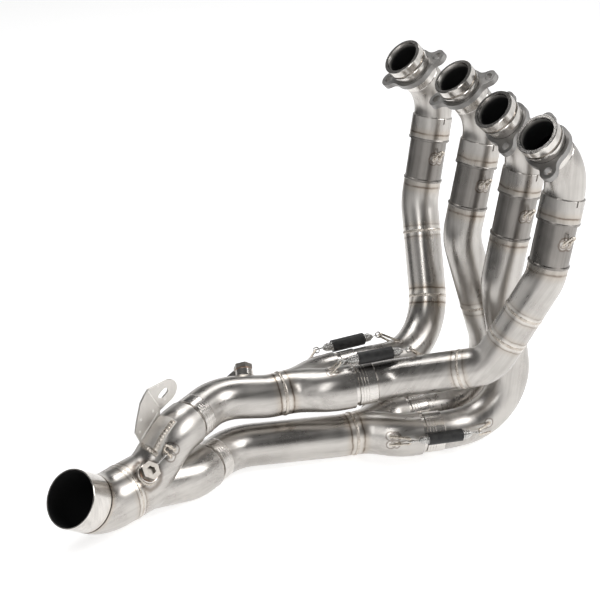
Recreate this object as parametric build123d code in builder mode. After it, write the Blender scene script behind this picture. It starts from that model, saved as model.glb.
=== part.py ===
"""Four-into-two-into-one exhaust header of an inline-four motorcycle.

+X is the front of the motorcycle, +Y its left side and +Z is up, in millimetres.
The header stands as it does on a bench: the lower pipes lie on the ground and the
four ports are on top. Cylinder 1 is on the left (+Y) and cylinder 4 on the right.
The pipes of cylinders 1 and 4 meet in the upper merge, those of 2 and 3 in the
lower merge, and both secondary pipes run into the collector and its outlet.

All pieces are laid out about a point on the ground close behind the port line. At
the end they are shifted so that the origin lies below the middle of the whole
header, on the ground.
"""
import os
from dataclasses import dataclass
from math import cos, radians, sin, tan

from build123d import *

os.makedirs("parts", exist_ok=True)

# Tube stock
tube_wall = 1.2
primary_od = 40.0
section_od = 39.0
secondary_od = 44.0
outlet_od = 57.0
slip_clearance = 0.2
weld_gap = 0.1
edge_break = 0.6

# Port line
cylinder_pitch = 84.0
port_line = Vector(7.0, 10.5, 371.0)
port_reach = 65.0
elbow_bend = 50.0

# Port spigot: distances are measured from the mouth along the port axis
spigot_od = 43.0
mouth_bore = 36.0
throat_bore = 34.0
mouth_bevel = 3.0
throat_length = 6.0
band_length = 8.5
groove_od = 37.0
groove_width = 2.0
bead_width = 2.6
neck_od = 39.4
spigot_length = 36.0

# Stud flange
flange_thickness = 6.0
flange_clearance = 0.3
flange_rim = 3.6
stud_spacing = 61.0
stud_hole = 8.5
ear_radius = 8.5
ear_blend = 12.0

# Upper slip joint: distances are measured from the elbow corner down the drop
sleeve_top = 24.5
sleeve_shoulder = 6.0
slip_end_gap = 1.0
ring_1 = 49.5
ring_2 = 93.5
ring_width = 3.2
ring_height = 0.8
slit_width = 1.6
slit_length = 6.0
slit_bearing = -84.0

# Lower slip joints
collar_od = 42.2
collar_outside = 24.0
collar_inside = 10.0
collar_groove_width = 4.0
collar_groove_depth = 1.4
collar_lines = 3
collar_line_depth = 0.3
collar_line_pitch = 3.0
secondary_collar_od = 44.8
secondary_collar_outside = 20.0

# Merges
socket_web = 2.0
socket_straight = 20.0
merge_axis_corner = 16.0
merge_bend = 45.0
merge_leg_angle = 4.5

# Secondary pipes
secondary_lead = 14.0
secondary_bend = 55.0

# Collector and outlet
collector_bend = 45.0
upper_leg_straight = 22.8
lower_leg_straight = 23.0
cone_start_height = 60.0
cone_start_width = 46.0
collector_lead = 30.0
outlet_rise = 34.6
outlet_yaw = 24.8
outlet_reach = 45.0
outlet_bend = 46.0
outlet_sleeve_length = 27.0
outlet_groove_width = 1.6
outlet_groove_depth = 0.9

# Spring hooks: a wire bent to a U, whose two legs lean away from the spring
hook_wire = 2.4
hook_foot_spread = 9.0
hook_tip_spread = 5.4
hook_slope = 40.0
hook_reach = 22.0
hook_bend = 2.4
section_hook_station = 59.0
section_hook_height = 7.0
collector_hook_bearing = 37.0

# Retaining springs
spring_od = 9.4
spring_wire = 1.5
spring_length = 58.0
spring_pitch = 2.4
spring_cone = 4.0
spring_tail = 4.0
spring_tail_wire = 1.3
spring_eye = 6.4
eye_clearance = 0.2
spring_offset = 30.0
rubber_wall = 1.5
rubber_length = 36.0
rubber_clearance = 0.2

# Sensor bosses and their plugs
boss_od = 20.0
boss_height = 7.0
front_boss_place = 17.0
front_boss_bearing = 41.0
rear_boss_place = 29.0
rear_boss_bearing = 55.0
plug_thread = 12.0
thread_clearance = 0.2
plug_flats = 17.0
plug_head_height = 5.0
plug_socket = 8.0
plug_socket_depth = 3.5
washer_od = 18.0
washer_thickness = 1.6
gusset_length = 8.0
gusset_height = 8.0
gusset_thickness = 2.5

# Hanger bracket
sheet = 2.0
saddle_width = 22.0
tip_radius = 13.5
tip_fold = 14.0
slot_length = 13.0
slot_width = 8.0
slot_tilt = -80.0

# Values that follow from those above
primary_id = primary_od - 2 * tube_wall
section_id = section_od - 2 * tube_wall
sleeve_id = primary_od + 2 * slip_clearance
sleeve_od = sleeve_id + 2 * tube_wall
socket_id = collar_od + 2 * slip_clearance
merge_od = socket_id + 2 * tube_wall
collector_socket_id = secondary_collar_od + 2 * slip_clearance
collector_od = collector_socket_id + 2 * tube_wall
socket_spread = (socket_id + socket_web) / 2
flange_bore = neck_od + 2 * flange_clearance
spigot_rim = band_length + groove_width + bead_width
elbow_end = ring_1 - ring_width / 2 - sleeve_shoulder - slip_end_gap
eye_radius = spring_eye / 2
hook_in_eye = eye_radius - (spring_wire + hook_wire) / 2 - eye_clearance
hook_distance = spring_length / 2 + spring_tail + eye_radius + hook_in_eye


@dataclass
class Runner:
    """One primary pipe, whose head can turn and slide a little in its sleeve."""

    cylinder: int
    stray: Vector
    lean: float
    yaw: float
    drop_lean: float
    side_lean: float
    flange_station: float
    flange_turn: float
    drop: float
    drop_bend: float
    low_corner: Vector
    low_bend: float
    joint_bend: float

    def mouth(self):
        """Centre of the port's mouth: its place on the port line, and its stray from it."""
        return port_line + Vector(0, (2.5 - self.cylinder) * cylinder_pitch, 0) + self.stray

    def inward(self):
        """Direction of the port axis, from the mouth into the header."""
        level = Vector(cos(radians(self.yaw)), sin(radians(self.yaw)), 0)
        return level * cos(radians(self.lean)) - Vector(0, 0, 1) * sin(radians(self.lean))

    def corner(self):
        """Where the port axis meets the straight drop below the elbow."""
        return self.mouth() + self.inward() * port_reach

    def down(self):
        """Direction of the straight drop."""
        lean = radians(self.drop_lean)
        return Vector(-sin(lean), tan(radians(self.side_lean)), -cos(lean)).normalized()


@dataclass
class Merge:
    """A pair of sockets that run together into one weld."""

    weld: Vector
    yaw: float
    pitch: float
    roll: float
    length: float
    leg_straight: float

    def frame(self):
        """Plane at the weld: its X axis points upstream and its Y axis to the left."""
        level = Plane(origin=self.weld).rotated((0, 0, -self.yaw))
        return level.rotated((0, -self.pitch, 0)).rotated((-self.roll, 0, 0))

    def socket(self, side):
        """Centre of a socket rim, with side +1 for the left one and -1 for the right."""
        return self.frame().from_local_coords(Vector(self.length, side * socket_spread, 0))

    def upstream(self, side):
        """Direction of a socket, pointing out of the merge."""
        lean = radians(merge_leg_angle)
        local = Vector(cos(lean), side * sin(lean), 0)
        return self.frame().from_local_coords(local) - self.weld

    def route(self, side):
        """Corners of one leg, from its socket rim to the weld."""
        rim = self.socket(side)
        return [
            rim,
            rim - self.upstream(side) * socket_straight,
            self.frame().from_local_coords(Vector(merge_axis_corner, 0, 0)),
            self.weld,
        ]


@dataclass
class Spring:
    """Place of one retaining spring: its joint, its bearing from the top and its shift."""

    cylinder: int
    bearing: float
    shift: float


low_height = merge_od / 2
runners = [
    Runner(
        cylinder=1, stray=Vector(-5.7, 3.5, 1.5), lean=46.0, yaw=4.3, drop_lean=11.2, side_lean=-5.5,
        flange_station=23.0, flange_turn=-47.0, drop=118.9, drop_bend=58.0,
        low_corner=Vector(5.0, 59.5, 62.8), low_bend=73.0, joint_bend=62.0,
    ),
    Runner(
        cylinder=2, stray=Vector(2.3, -4.4, 5.5), lean=49.6, yaw=1.4, drop_lean=12.6, side_lean=-3.4,
        flange_station=21.0, flange_turn=-49.0, drop=128.5, drop_bend=57.0,
        low_corner=Vector(69.6, 16.2, low_height), low_bend=61.0, joint_bend=60.0,
    ),
    Runner(
        cylinder=3, stray=Vector(2.0, 1.1, -4.6), lean=44.3, yaw=3.9, drop_lean=10.7, side_lean=-1.3,
        flange_station=26.0, flange_turn=44.0, drop=146.8, drop_bend=56.0,
        low_corner=Vector(55.2, -35.2, low_height), low_bend=57.0, joint_bend=59.0,
    ),
    Runner(
        cylinder=4, stray=Vector(-0.6, 3.0, -2.9), lean=45.3, yaw=9.8, drop_lean=11.1, side_lean=-1.4,
        flange_station=23.0, flange_turn=48.0, drop=109.7, drop_bend=46.0,
        low_corner=Vector(-10.0, -79.7, 115.3), low_bend=36.0, joint_bend=54.0,
    ),
]
upper_merge = Merge(Vector(-193.5, 21.8, 75.7), 5.9, 2.2, 9.0, 68.4, 42.0)
lower_merge = Merge(Vector(-123.0, 1.0, low_height), 6.0, 0.0, 0.0, 66.0, 31.0)
merge_of = {1: upper_merge, 2: lower_merge, 3: lower_merge, 4: upper_merge}
side_of = {1: 1, 2: 1, 3: -1, 4: -1}
springs = [Spring(1, 50.0, 25.0), Spring(2, 73.0, 14.0), Spring(3, -73.0, 19.0), Spring(4, 0.0, 27.0)]

# Points of the secondary pipes and the collector
upper_corner = Vector(-257.0, 35.0, 79.0)
upper_joint = Vector(-303.6, 6.0, 75.0)
lower_corner = Vector(-246.0, 26.5, collector_od / 2)
lower_joint = Vector(-286.0, 2.5, collector_od / 2)
upper_leg_meets = Vector(-352.0, -20.0, 47.0)
lower_leg_meets = Vector(-352.0, -17.0, 30.0)
outlet_corner = Vector(-411.0, -40.5, 35.0)
collector_hook_tip = Vector(-341.5, -34.5, 79.0)


def turned(start, along, profile):
    """A body of revolution: (radius, station) points turned about a line."""
    across = Plane(origin=start, z_dir=along)
    with BuildPart() as body:
        with BuildSketch(Plane(origin=start, x_dir=across.x_dir, z_dir=-across.y_dir)):
            with BuildLine():
                Polyline(*profile, close=True)
            make_face()
        revolve(axis=Axis(start, along))
    return body


def rod(corners, bends, diameter):
    """A solid round bar along straight runs joined by round bends."""
    with BuildPart() as body:
        with BuildLine() as route:
            FilletPolyline(*corners, radius=bends)
        with BuildSketch(Plane(origin=route.line @ 0, z_dir=route.line % 0)):
            Circle(diameter / 2)
        sweep()
    return body


def pipe(corners, bends, outer, wall):
    """A tube along straight runs joined by round bends."""
    with BuildPart() as body:
        with BuildLine() as route:
            FilletPolyline(*corners, radius=bends)
        with BuildSketch(Plane(origin=route.line @ 0, z_dir=route.line % 0)):
            Circle(outer / 2)
            Circle(outer / 2 - wall, mode=Mode.SUBTRACT)
        sweep()
    return body


def bearing_from_top(along, bearing):
    """Direction square to a pipe, turned from its top towards the left by a bearing."""
    left = Vector(0, 0, 1).cross(along).normalized()
    top = along.cross(left)
    return top * cos(radians(bearing)) + left * sin(radians(bearing))


def port_spigot(runner):
    """The machined mouth: lip, band, groove, bead and neck."""
    rim = spigot_od / 2
    neck = neck_od / 2
    bead = band_length + groove_width
    profile = [
        (mouth_bore / 2, 0),
        (rim - edge_break, 0),
        (rim, edge_break),
        (rim, band_length - edge_break),
        (groove_od / 2, band_length),
        (groove_od / 2, bead),
        (rim - edge_break, bead),
        (rim, bead + edge_break),
        (rim, spigot_rim - edge_break),
        (rim - edge_break, spigot_rim),
        (neck, spigot_rim),
        (neck, spigot_length - edge_break),
        (primary_od / 2, spigot_length),
        (primary_id / 2, spigot_length),
        (throat_bore / 2, mouth_bevel + throat_length),
        (throat_bore / 2, mouth_bevel),
    ]
    return turned(runner.mouth(), runner.inward(), profile)


def stud_flange(runner):
    """The loose flange that clamps the spigot to the engine by two studs."""
    face = runner.mouth() + runner.inward() * (runner.flange_station - flange_thickness / 2)
    left = Vector(0, 0, 1).cross(runner.inward())
    ear = left.rotate(Axis((0, 0, 0), runner.inward()), runner.flange_turn)
    with BuildPart() as flange:
        with BuildSketch(Plane(origin=face, x_dir=ear, z_dir=runner.inward())) as outline:
            Circle(flange_bore / 2 + flange_rim)
            SlotCenterToCenter(stud_spacing, 2 * ear_radius)
            fillet(outline.vertices().sort_by_distance((0, 0, 0))[:4], ear_blend)
            Circle(flange_bore / 2, mode=Mode.SUBTRACT)
            with PolarLocations(stud_spacing / 2, 2):
                Circle(stud_hole / 2, mode=Mode.SUBTRACT)
        extrude(amount=flange_thickness)
    return flange


def head_elbow(runner):
    """The bend below the port, whose lower end slips into the sleeve."""
    start = runner.mouth() + runner.inward() * spigot_length
    end = runner.corner() + runner.down() * elbow_end
    return pipe([start, runner.corner(), end], elbow_bend, primary_od, tube_wall)


def slip_sleeve(runner):
    """The sleeve over the elbow's lower end, with a relief slit in its rim."""
    foot = ring_1 - ring_width / 2
    profile = [
        (sleeve_id / 2, sleeve_top),
        (sleeve_od / 2 - edge_break / 2, sleeve_top),
        (sleeve_od / 2, sleeve_top + edge_break),
        (sleeve_od / 2, foot),
        (section_id / 2, foot),
        (section_id / 2, foot - sleeve_shoulder / 3),
        (sleeve_id / 2, foot - sleeve_shoulder),
    ]
    bearing = radians(slit_bearing)
    rim = runner.corner() + runner.down() * sleeve_top
    rim_plane = Plane(origin=rim, x_dir=(cos(bearing), sin(bearing), 0), z_dir=runner.down())
    with BuildPart() as sleeve:
        add(turned(runner.corner(), runner.down(), profile).part)
        with BuildSketch(rim_plane):
            with Locations((sleeve_od / 2, 0)):
                Rectangle(4 * tube_wall, slit_width)
        extrude(amount=slit_length, mode=Mode.SUBTRACT)
    return sleeve


def spring_section(runner):
    """The tube between the two weld rings, which carries a spring hook."""
    half = ring_width / 2
    upper_crest = sleeve_od / 2 + ring_height / 2
    lower_crest = primary_od / 2 + ring_height
    profile = [
        (section_id / 2, ring_1 - half),
        (sleeve_od / 2, ring_1 - half),
        (upper_crest, ring_1 - half / 2),
        (upper_crest, ring_1 + half / 2),
        (section_od / 2, ring_1 + half),
        (section_od / 2, ring_2 - half),
        (lower_crest, ring_2 - half / 2),
        (lower_crest, ring_2 + half / 2),
        (primary_od / 2, ring_2 + half),
        (section_id / 2, ring_2 + half),
    ]
    return turned(runner.corner(), runner.down(), profile)


def primary_route(runner):
    """Corners of a primary pipe from the second weld ring to its lower collar."""
    merge = merge_of[runner.cylinder]
    side = side_of[runner.cylinder]
    return [
        runner.corner() + runner.down() * (ring_2 + ring_width / 2),
        runner.corner() + runner.down() * runner.drop,
        runner.low_corner,
        merge.socket(side) + merge.upstream(side) * merge.leg_straight,
        merge.socket(side) + merge.upstream(side) * collar_outside,
    ]


def primary_bends(runner):
    """Bend radii of a primary pipe, from the top down."""
    return [runner.drop_bend, runner.low_bend, runner.joint_bend]


def joint_collar(rim, upstream, outer, tube_od, outside):
    """A machined collar that slides into a socket, with a groove at the rim."""
    land = outer / 2
    bore = tube_od / 2 - tube_wall
    groove = land - collar_groove_depth
    profile = [
        (bore, -collar_inside),
        (land - edge_break, -collar_inside),
        (land, edge_break - collar_inside),
        (land, -2 * edge_break),
        (groove, -edge_break),
        (groove, collar_groove_width),
        (land, collar_groove_width + edge_break),
    ]
    for line in range(collar_lines):
        place = collar_groove_width + collar_line_pitch * (line + 1)
        profile += [
            (land, place),
            (land - collar_line_depth, place + collar_line_depth),
            (land, place + 2 * collar_line_depth),
        ]
    profile += [
        (land, outside - 2 * edge_break),
        (tube_od / 2, outside),
        (bore, outside),
    ]
    return turned(rim, upstream, profile)


def merge_leg(merge, side):
    """A socket that bends onto the merge axis, cut along the seam to its twin."""
    frame = merge.frame()
    seam = Plane(origin=merge.weld, x_dir=frame.x_dir, z_dir=frame.y_dir * side)
    with BuildPart() as leg:
        add(pipe(merge.route(side), merge_bend, merge_od, tube_wall).part)
        split(bisect_by=seam, keep=Keep.TOP)
    return leg


def secondary_route(merge, corner, joint):
    """Corners of a secondary pipe from its weld to its collar."""
    run = (corner - joint).normalized()
    return [
        merge.weld,
        merge.weld - merge.frame().x_dir * secondary_lead,
        corner,
        joint + run * secondary_collar_outside,
    ]


upper_run = (upper_joint - upper_corner).normalized()
lower_run = (lower_joint - lower_corner).normalized()
legs_meet = (upper_leg_meets + lower_leg_meets) * 0.5
cone_axis = (outlet_corner - legs_meet).normalized()
collector_seam = outlet_corner - cone_axis * collector_lead
upper_leg_route = [
    upper_joint,
    upper_joint + upper_run * upper_leg_straight,
    upper_leg_meets,
    collector_seam,
]
lower_leg_route = [
    lower_joint,
    lower_joint + lower_run * lower_leg_straight,
    lower_leg_meets,
    collector_seam,
]
outlet_axis = Vector(
    -cos(radians(outlet_rise)) * cos(radians(outlet_yaw)),
    -cos(radians(outlet_rise)) * sin(radians(outlet_yaw)),
    sin(radians(outlet_rise)),
)
outlet_mouth = outlet_corner + outlet_axis * outlet_reach
outlet_seam = outlet_mouth - outlet_axis * outlet_sleeve_length


def collector_form(inset):
    """The two legs and the cone that blends them, shrunk all round by an inset."""
    leg = collector_od - 2 * inset
    with BuildPart() as form:
        add(rod(upper_leg_route, collector_bend, leg).part)
        add(rod(lower_leg_route, collector_bend, leg).part)
        with BuildSketch(Plane(origin=legs_meet, x_dir=(0, 0, 1), z_dir=cone_axis)):
            SlotOverall(cone_start_height - 2 * inset, cone_start_width - 2 * inset)
        with BuildSketch(Plane(origin=collector_seam, x_dir=(0, 0, 1), z_dir=cone_axis)):
            Circle(outlet_od / 2 - inset)
        loft()
    return form


def collector_halves():
    """The upper and lower leg of the collector, which meet along a level seam."""
    start = (upper_joint + lower_joint) * 0.5
    along = (collector_seam - start).normalized()
    across = Vector(0, 0, 1).cross(along).normalized()
    seam = Plane(origin=start, x_dir=along, z_dir=along.cross(across))
    reach = (collector_seam - start).length
    pieces = []
    for side in (1, -1):
        with BuildPart() as half:
            add(collector_form(0).part)
            add(collector_form(tube_wall).part, mode=Mode.SUBTRACT)
            split(bisect_by=Plane(origin=collector_seam, z_dir=cone_axis), keep=Keep.BOTTOM)
            with BuildSketch(seam):
                Rectangle(4 * reach, 4 * reach)
            extrude(amount=side * 2 * reach, mode=Mode.INTERSECT)
        pieces.append(half)
    return pieces


def outlet_sleeve():
    """The thin ring round the outlet, set off by a groove."""
    outer = outlet_od / 2
    length = outlet_sleeve_length
    profile = [
        (outer - tube_wall, 0),
        (outer - edge_break / 2, 0),
        (outer, edge_break),
        (outer, length - outlet_groove_width),
        (outer - outlet_groove_depth, length - outlet_groove_width),
        (outer - outlet_groove_depth, length),
        (outer - tube_wall, length),
    ]
    return turned(outlet_mouth, outlet_axis * -1, profile)


def hook(tip, away, outward, carrier):
    """A wire hook whose crossbar is at the tip and whose legs end on the carrier."""
    lateral = away.cross(outward).normalized()
    fall = away * cos(radians(hook_slope)) - outward * sin(radians(hook_slope))
    half = hook_tip_spread / 2
    spread = (hook_foot_spread - hook_tip_spread) / 2
    corners = [
        tip + fall * hook_reach + lateral * (half + spread),
        tip + lateral * half,
        tip - lateral * half,
        tip + fall * hook_reach - lateral * (half + spread),
    ]
    with BuildPart() as wire:
        add(rod(corners, hook_bend, hook_wire).part)
        add(carrier.part, mode=Mode.SUBTRACT)
    return wire


def spring_frame(spring):
    """Plane at a spring's middle: X points upstream and Y away from the pipe."""
    merge = merge_of[spring.cylinder]
    side = side_of[spring.cylinder]
    upstream = merge.upstream(side)
    outward = bearing_from_top(upstream, spring.bearing)
    middle = merge.socket(side) + upstream * spring.shift + outward * spring_offset
    return Plane(origin=middle, x_dir=upstream, z_dir=upstream.cross(outward))


def coil_profile():
    """Outline of the coiled body, with one ridge for each turn outside the rubber."""
    half = spring_length / 2
    outer = spring_od / 2
    plain = rubber_length / 2
    turns = int((half - spring_cone - plain) / spring_pitch)
    right = [(outer, plain)]
    for turn in range(turns):
        start = plain + turn * spring_pitch
        right += [
            (outer - spring_wire / 2, start + spring_pitch * 0.1),
            (outer, start + spring_pitch * 0.4),
            (outer, start + spring_pitch * 0.7),
        ]
    right += [(outer, half - spring_cone), (spring_wire, half)]
    left = [(radius, -place) for radius, place in reversed(right)]
    return [(0, -half)] + left + right + [(0, half)]


def joint_spring(spring):
    """A coil spring with a tail and a round eye at each end."""
    frame = spring_frame(spring)
    along = frame.x_dir
    eye_place = spring_length / 2 + spring_tail + eye_radius
    with BuildPart() as coil:
        add(turned(frame.origin, along, coil_profile()).part)
        for end in (1, -1):
            eye = frame.origin + along * end * eye_place
            ring = Plane(origin=eye, x_dir=frame.y_dir, z_dir=along)
            with BuildSketch(ring):
                with Locations((eye_radius, 0)):
                    Circle(spring_wire / 2)
            revolve(axis=Axis(eye, frame.z_dir))
            tail = Plane(origin=frame.origin + along * end * (spring_length / 2 - 1), z_dir=along * end)
            with BuildSketch(tail):
                Circle(spring_tail_wire / 2)
            extrude(amount=spring_tail + 1 + spring_wire / 4)
    return coil


def spring_rubber(spring):
    """The rubber tube over the middle of a spring."""
    frame = spring_frame(spring)
    bore = spring_od / 2 + rubber_clearance
    half = rubber_length / 2
    outer = bore + rubber_wall
    profile = [(bore, -half), (outer, -half), (outer, half), (bore, half)]
    return turned(frame.origin, frame.x_dir, profile)


def spring_hooks(spring):
    """The two hooks that hold a spring, one on the merge leg and one on the pipe."""
    frame = spring_frame(spring)
    merge = merge_of[spring.cylinder]
    side = side_of[spring.cylinder]
    runner = runners[spring.cylinder - 1]
    leg = rod(merge.route(side), merge_bend, merge_od + 2 * weld_gap)
    run = rod(primary_route(runner), primary_bends(runner), primary_od + 2 * weld_gap)
    reach = frame.x_dir * hook_distance
    return [
        hook(frame.origin - reach, frame.x_dir * -1, frame.y_dir, leg),
        hook(frame.origin + reach, frame.x_dir, frame.y_dir, run),
    ]


def section_hook(runner):
    """The hook between the two weld rings, on the side of the sleeve's slit."""
    bearing = radians(slit_bearing)
    facing = Vector(cos(bearing), sin(bearing), 0)
    outward = (facing - runner.down() * facing.dot(runner.down())).normalized()
    tip = runner.corner() + runner.down() * section_hook_station
    tip += outward * (section_od / 2 + section_hook_height)
    surface = section_od / 2 + weld_gap
    bar = turned(runner.corner(), runner.down(), [(0, ring_1), (surface, ring_1), (surface, ring_2), (0, ring_2)])
    return hook(tip, runner.down(), outward, bar)


def collector_hook():
    """The hook on the side of the collector that takes the silencer's spring."""
    along = (upper_leg_meets - upper_leg_route[1]).normalized()
    outward = bearing_from_top(along, collector_hook_bearing)
    return hook(collector_hook_tip, outward.cross(along), outward, collector_form(-weld_gap))


class Boss:
    """A threaded boss on a pipe, with its washer and plug, standing along an axis."""

    def __init__(self, foot, outward, surface, trim):
        self.top = foot + outward * (surface + boss_height)
        self.foot = foot
        self.outward = outward
        self.trim = trim

    def boss(self):
        """The boss itself, cut to the pipe that it stands on."""
        height = (self.top - self.foot).length
        bore = plug_thread / 2 + thread_clearance
        profile = [
            (bore, 0),
            (boss_od / 2, 0),
            (boss_od / 2, height - edge_break),
            (boss_od / 2 - edge_break, height),
            (bore, height),
        ]
        with BuildPart() as body:
            add(turned(self.foot, self.outward, profile).part)
            add(self.trim.part, mode=Mode.SUBTRACT)
        return body

    def hole(self):
        """The bore through the pipe's wall below the boss."""
        height = (self.top - self.foot).length
        radius = plug_thread / 2 + thread_clearance
        return turned(self.foot, self.outward, [(0, 0), (radius, 0), (radius, height), (0, height)])

    def washer(self):
        """The sealing washer on the boss."""
        bore = plug_thread / 2 + thread_clearance
        outer = washer_od / 2
        profile = [(bore, 0), (outer, 0), (outer, washer_thickness), (bore, washer_thickness)]
        return turned(self.top, self.outward, profile)

    def plug(self):
        """The hexagon plug with a socket in its head."""
        seat = self.top + self.outward * washer_thickness
        crown = seat + self.outward * plug_head_height
        with BuildPart() as body:
            with BuildSketch(Plane(origin=seat, z_dir=self.outward)):
                RegularPolygon(plug_flats / 2, 6, major_radius=False)
            extrude(amount=plug_head_height)
            with BuildSketch(Plane(origin=crown, z_dir=self.outward)):
                RegularPolygon(plug_socket / 2, 6, major_radius=False)
            extrude(amount=-plug_socket_depth, mode=Mode.SUBTRACT)
            with BuildSketch(Plane(origin=seat, z_dir=self.outward * -1)):
                Circle(plug_thread / 2)
            extrude(amount=washer_thickness + boss_height)
        return body


cone_place = legs_meet + cone_axis * front_boss_place
front_boss_axis = bearing_from_top(cone_axis * -1, -front_boss_bearing)
front_boss = Boss(cone_place, front_boss_axis, collector_od / 2, collector_form(-weld_gap))
upper_secondary_route = secondary_route(upper_merge, upper_corner, upper_joint)
secondary_along = (upper_secondary_route[1] - upper_corner).normalized()
rear_foot = upper_corner + secondary_along * rear_boss_place
rear_trim = rod(upper_secondary_route, secondary_bend, secondary_od + 2 * weld_gap)
rear_boss = Boss(rear_foot, bearing_from_top(secondary_along, rear_boss_bearing), secondary_od / 2, rear_trim)


def boss_gusset():
    """The triangular web that braces the rear boss against the secondary pipe."""
    down = secondary_along * -1
    surface = secondary_od / 2
    side = Plane(origin=rear_foot, x_dir=down, z_dir=down.cross(rear_boss.outward))
    start = boss_od / 2 + weld_gap
    with BuildPart() as web:
        with BuildSketch(side):
            with BuildLine():
                Polyline(
                    (start, surface - sheet),
                    (start + gusset_length, surface - sheet),
                    (start + gusset_length, surface + sheet / 2),
                    (start, surface + gusset_height),
                    close=True,
                )
            make_face()
        extrude(amount=gusset_thickness / 2, both=True)
        add(rear_trim.part, mode=Mode.SUBTRACT)
    return web


bracket_foot = Vector(-357.6, -12.0, 75.7)
bracket_rise = Vector(-336.5, 0.0, 97.0)
fold_foot = (28.4, 24.0)
fold_top = (12.3, 54.1)
web_edge = [(0, -10), (-2, 2), (-9, 15.4), (-6.5, 25.7), (0.3, 44), (7.1, 50.5)]
tip_middle = (13.7, -14.5)
slot_middle = (15.1, -11.3)


def hanger_bracket():
    """A bent sheet: a saddle on the upper collector leg, a web and a slotted tip."""
    forward = Vector(bracket_rise.X - bracket_foot.X, bracket_rise.Y - bracket_foot.Y, 0).normalized()
    web_plane = Plane(origin=bracket_foot, x_dir=forward, z_dir=forward.cross(Vector(0, 0, 1)))
    fold_start = web_plane.from_local_coords(Vector(*fold_foot, 0))
    fold_end = web_plane.from_local_coords(Vector(*fold_top, 0))
    fold = (fold_end - fold_start).normalized()
    tip_normal = web_plane.z_dir.rotate(Axis(fold_start, fold), -tip_fold)
    tip_plane = Plane(origin=fold_start, x_dir=fold, z_dir=tip_normal)
    fold_length = (fold_end - fold_start).length
    inner = rod(upper_leg_route, collector_bend, collector_od + 2 * weld_gap)
    with BuildPart() as saddle:
        add(rod(upper_leg_route, collector_bend, collector_od + 2 * weld_gap + 2 * sheet).part)
        with BuildSketch(web_plane):
            Polygon((-2, -24), (32, 4), (26, 26), (-2, 4), align=None)
        extrude(amount=saddle_width, mode=Mode.INTERSECT)
    with BuildPart() as bracket:
        add(saddle.part)
        with BuildSketch(web_plane):
            Polygon(*web_edge, fold_top, fold_foot, (24, 5), align=None)
        extrude(amount=sheet)
        with BuildSketch(tip_plane):
            with Locations(tip_middle):
                Circle(tip_radius)
            Polygon((0, 0), (fold_length, 0), tip_middle, align=None)
            make_hull()
            with Locations(slot_middle):
                SlotOverall(slot_length, slot_width, rotation=slot_tilt, mode=Mode.SUBTRACT)
        extrude(amount=sheet)
        add(inner.part, mode=Mode.SUBTRACT)
    return bracket


pieces = {}
for runner in runners:
    number = runner.cylinder
    merge = merge_of[number]
    side = side_of[number]
    pieces[f"port_spigot_{number}"] = port_spigot(runner)
    pieces[f"stud_flange_{number}"] = stud_flange(runner)
    pieces[f"head_elbow_{number}"] = head_elbow(runner)
    pieces[f"slip_sleeve_{number}"] = slip_sleeve(runner)
    pieces[f"spring_section_{number}"] = spring_section(runner)
    route = primary_route(runner)
    pieces[f"primary_pipe_{number}"] = pipe(route, primary_bends(runner), primary_od, tube_wall)
    pieces[f"lower_collar_{number}"] = joint_collar(
        merge.socket(side), merge.upstream(side), collar_od, primary_od, collar_outside
    )

for name, merge in (("upper", upper_merge), ("lower", lower_merge)):
    pieces[f"{name}_merge_left"] = merge_leg(merge, 1)
    pieces[f"{name}_merge_right"] = merge_leg(merge, -1)

for name, merge, corner, joint in (
    ("upper", upper_merge, upper_corner, upper_joint),
    ("lower", lower_merge, lower_corner, lower_joint),
):
    route = secondary_route(merge, corner, joint)
    run = (corner - joint).normalized()
    with BuildPart() as secondary:
        add(pipe(route, secondary_bend, secondary_od, tube_wall).part)
        if merge is upper_merge:
            add(rear_boss.hole().part, mode=Mode.SUBTRACT)
    pieces[f"{name}_secondary"] = secondary
    pieces[f"{name}_secondary_collar"] = joint_collar(
        joint, run, secondary_collar_od, secondary_od, secondary_collar_outside
    )

for name, leg in zip(("upper", "lower"), collector_halves()):
    with BuildPart() as bored:
        add(leg.part)
        add(front_boss.hole().part, mode=Mode.SUBTRACT)
    pieces[f"collector_{name}_leg"] = bored
outlet_route = [collector_seam, outlet_corner, outlet_seam]
pieces["outlet_bend"] = pipe(outlet_route, outlet_bend, outlet_od, tube_wall)
pieces["outlet_sleeve"] = outlet_sleeve()

for name, boss in (("front", front_boss), ("rear", rear_boss)):
    pieces[f"{name}_sensor_boss"] = boss.boss()
    pieces[f"{name}_plug_washer"] = boss.washer()
    pieces[f"{name}_sensor_plug"] = boss.plug()
pieces["rear_boss_gusset"] = boss_gusset()
pieces["hanger_bracket"] = hanger_bracket()

for spring in springs:
    pieces[f"joint_spring_{spring.cylinder}"] = joint_spring(spring)
    pieces[f"spring_rubber_{spring.cylinder}"] = spring_rubber(spring)

with BuildPart() as joint_hooks:
    for spring in springs:
        for wire in spring_hooks(spring):
            add(wire.part)
pieces["joint_spring_hooks"] = joint_hooks

with BuildPart() as section_hooks:
    for runner in runners:
        add(section_hook(runner).part)
pieces["section_spring_hooks"] = section_hooks
pieces["collector_hook"] = collector_hook()

# The origin lies on the ground below the middle of the whole header
overall = Compound([piece.part for piece in pieces.values()]).bounding_box()
middle = overall.center()
to_origin = Location((-middle.X, -middle.Y, -overall.min.Z))
for name, piece in pieces.items():
    placed = piece.part.moved(to_origin)
    placed.label = name
    export_step(placed, f"parts/{name}.step")
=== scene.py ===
"""A four into two into one exhaust header: its metal finishes, welds and springs, the studio and the camera."""

import logging
import math
from dataclasses import dataclass, field
from enum import Enum

import bpy
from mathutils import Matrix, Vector
from mathutils.bvhtree import BVHTree


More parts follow.
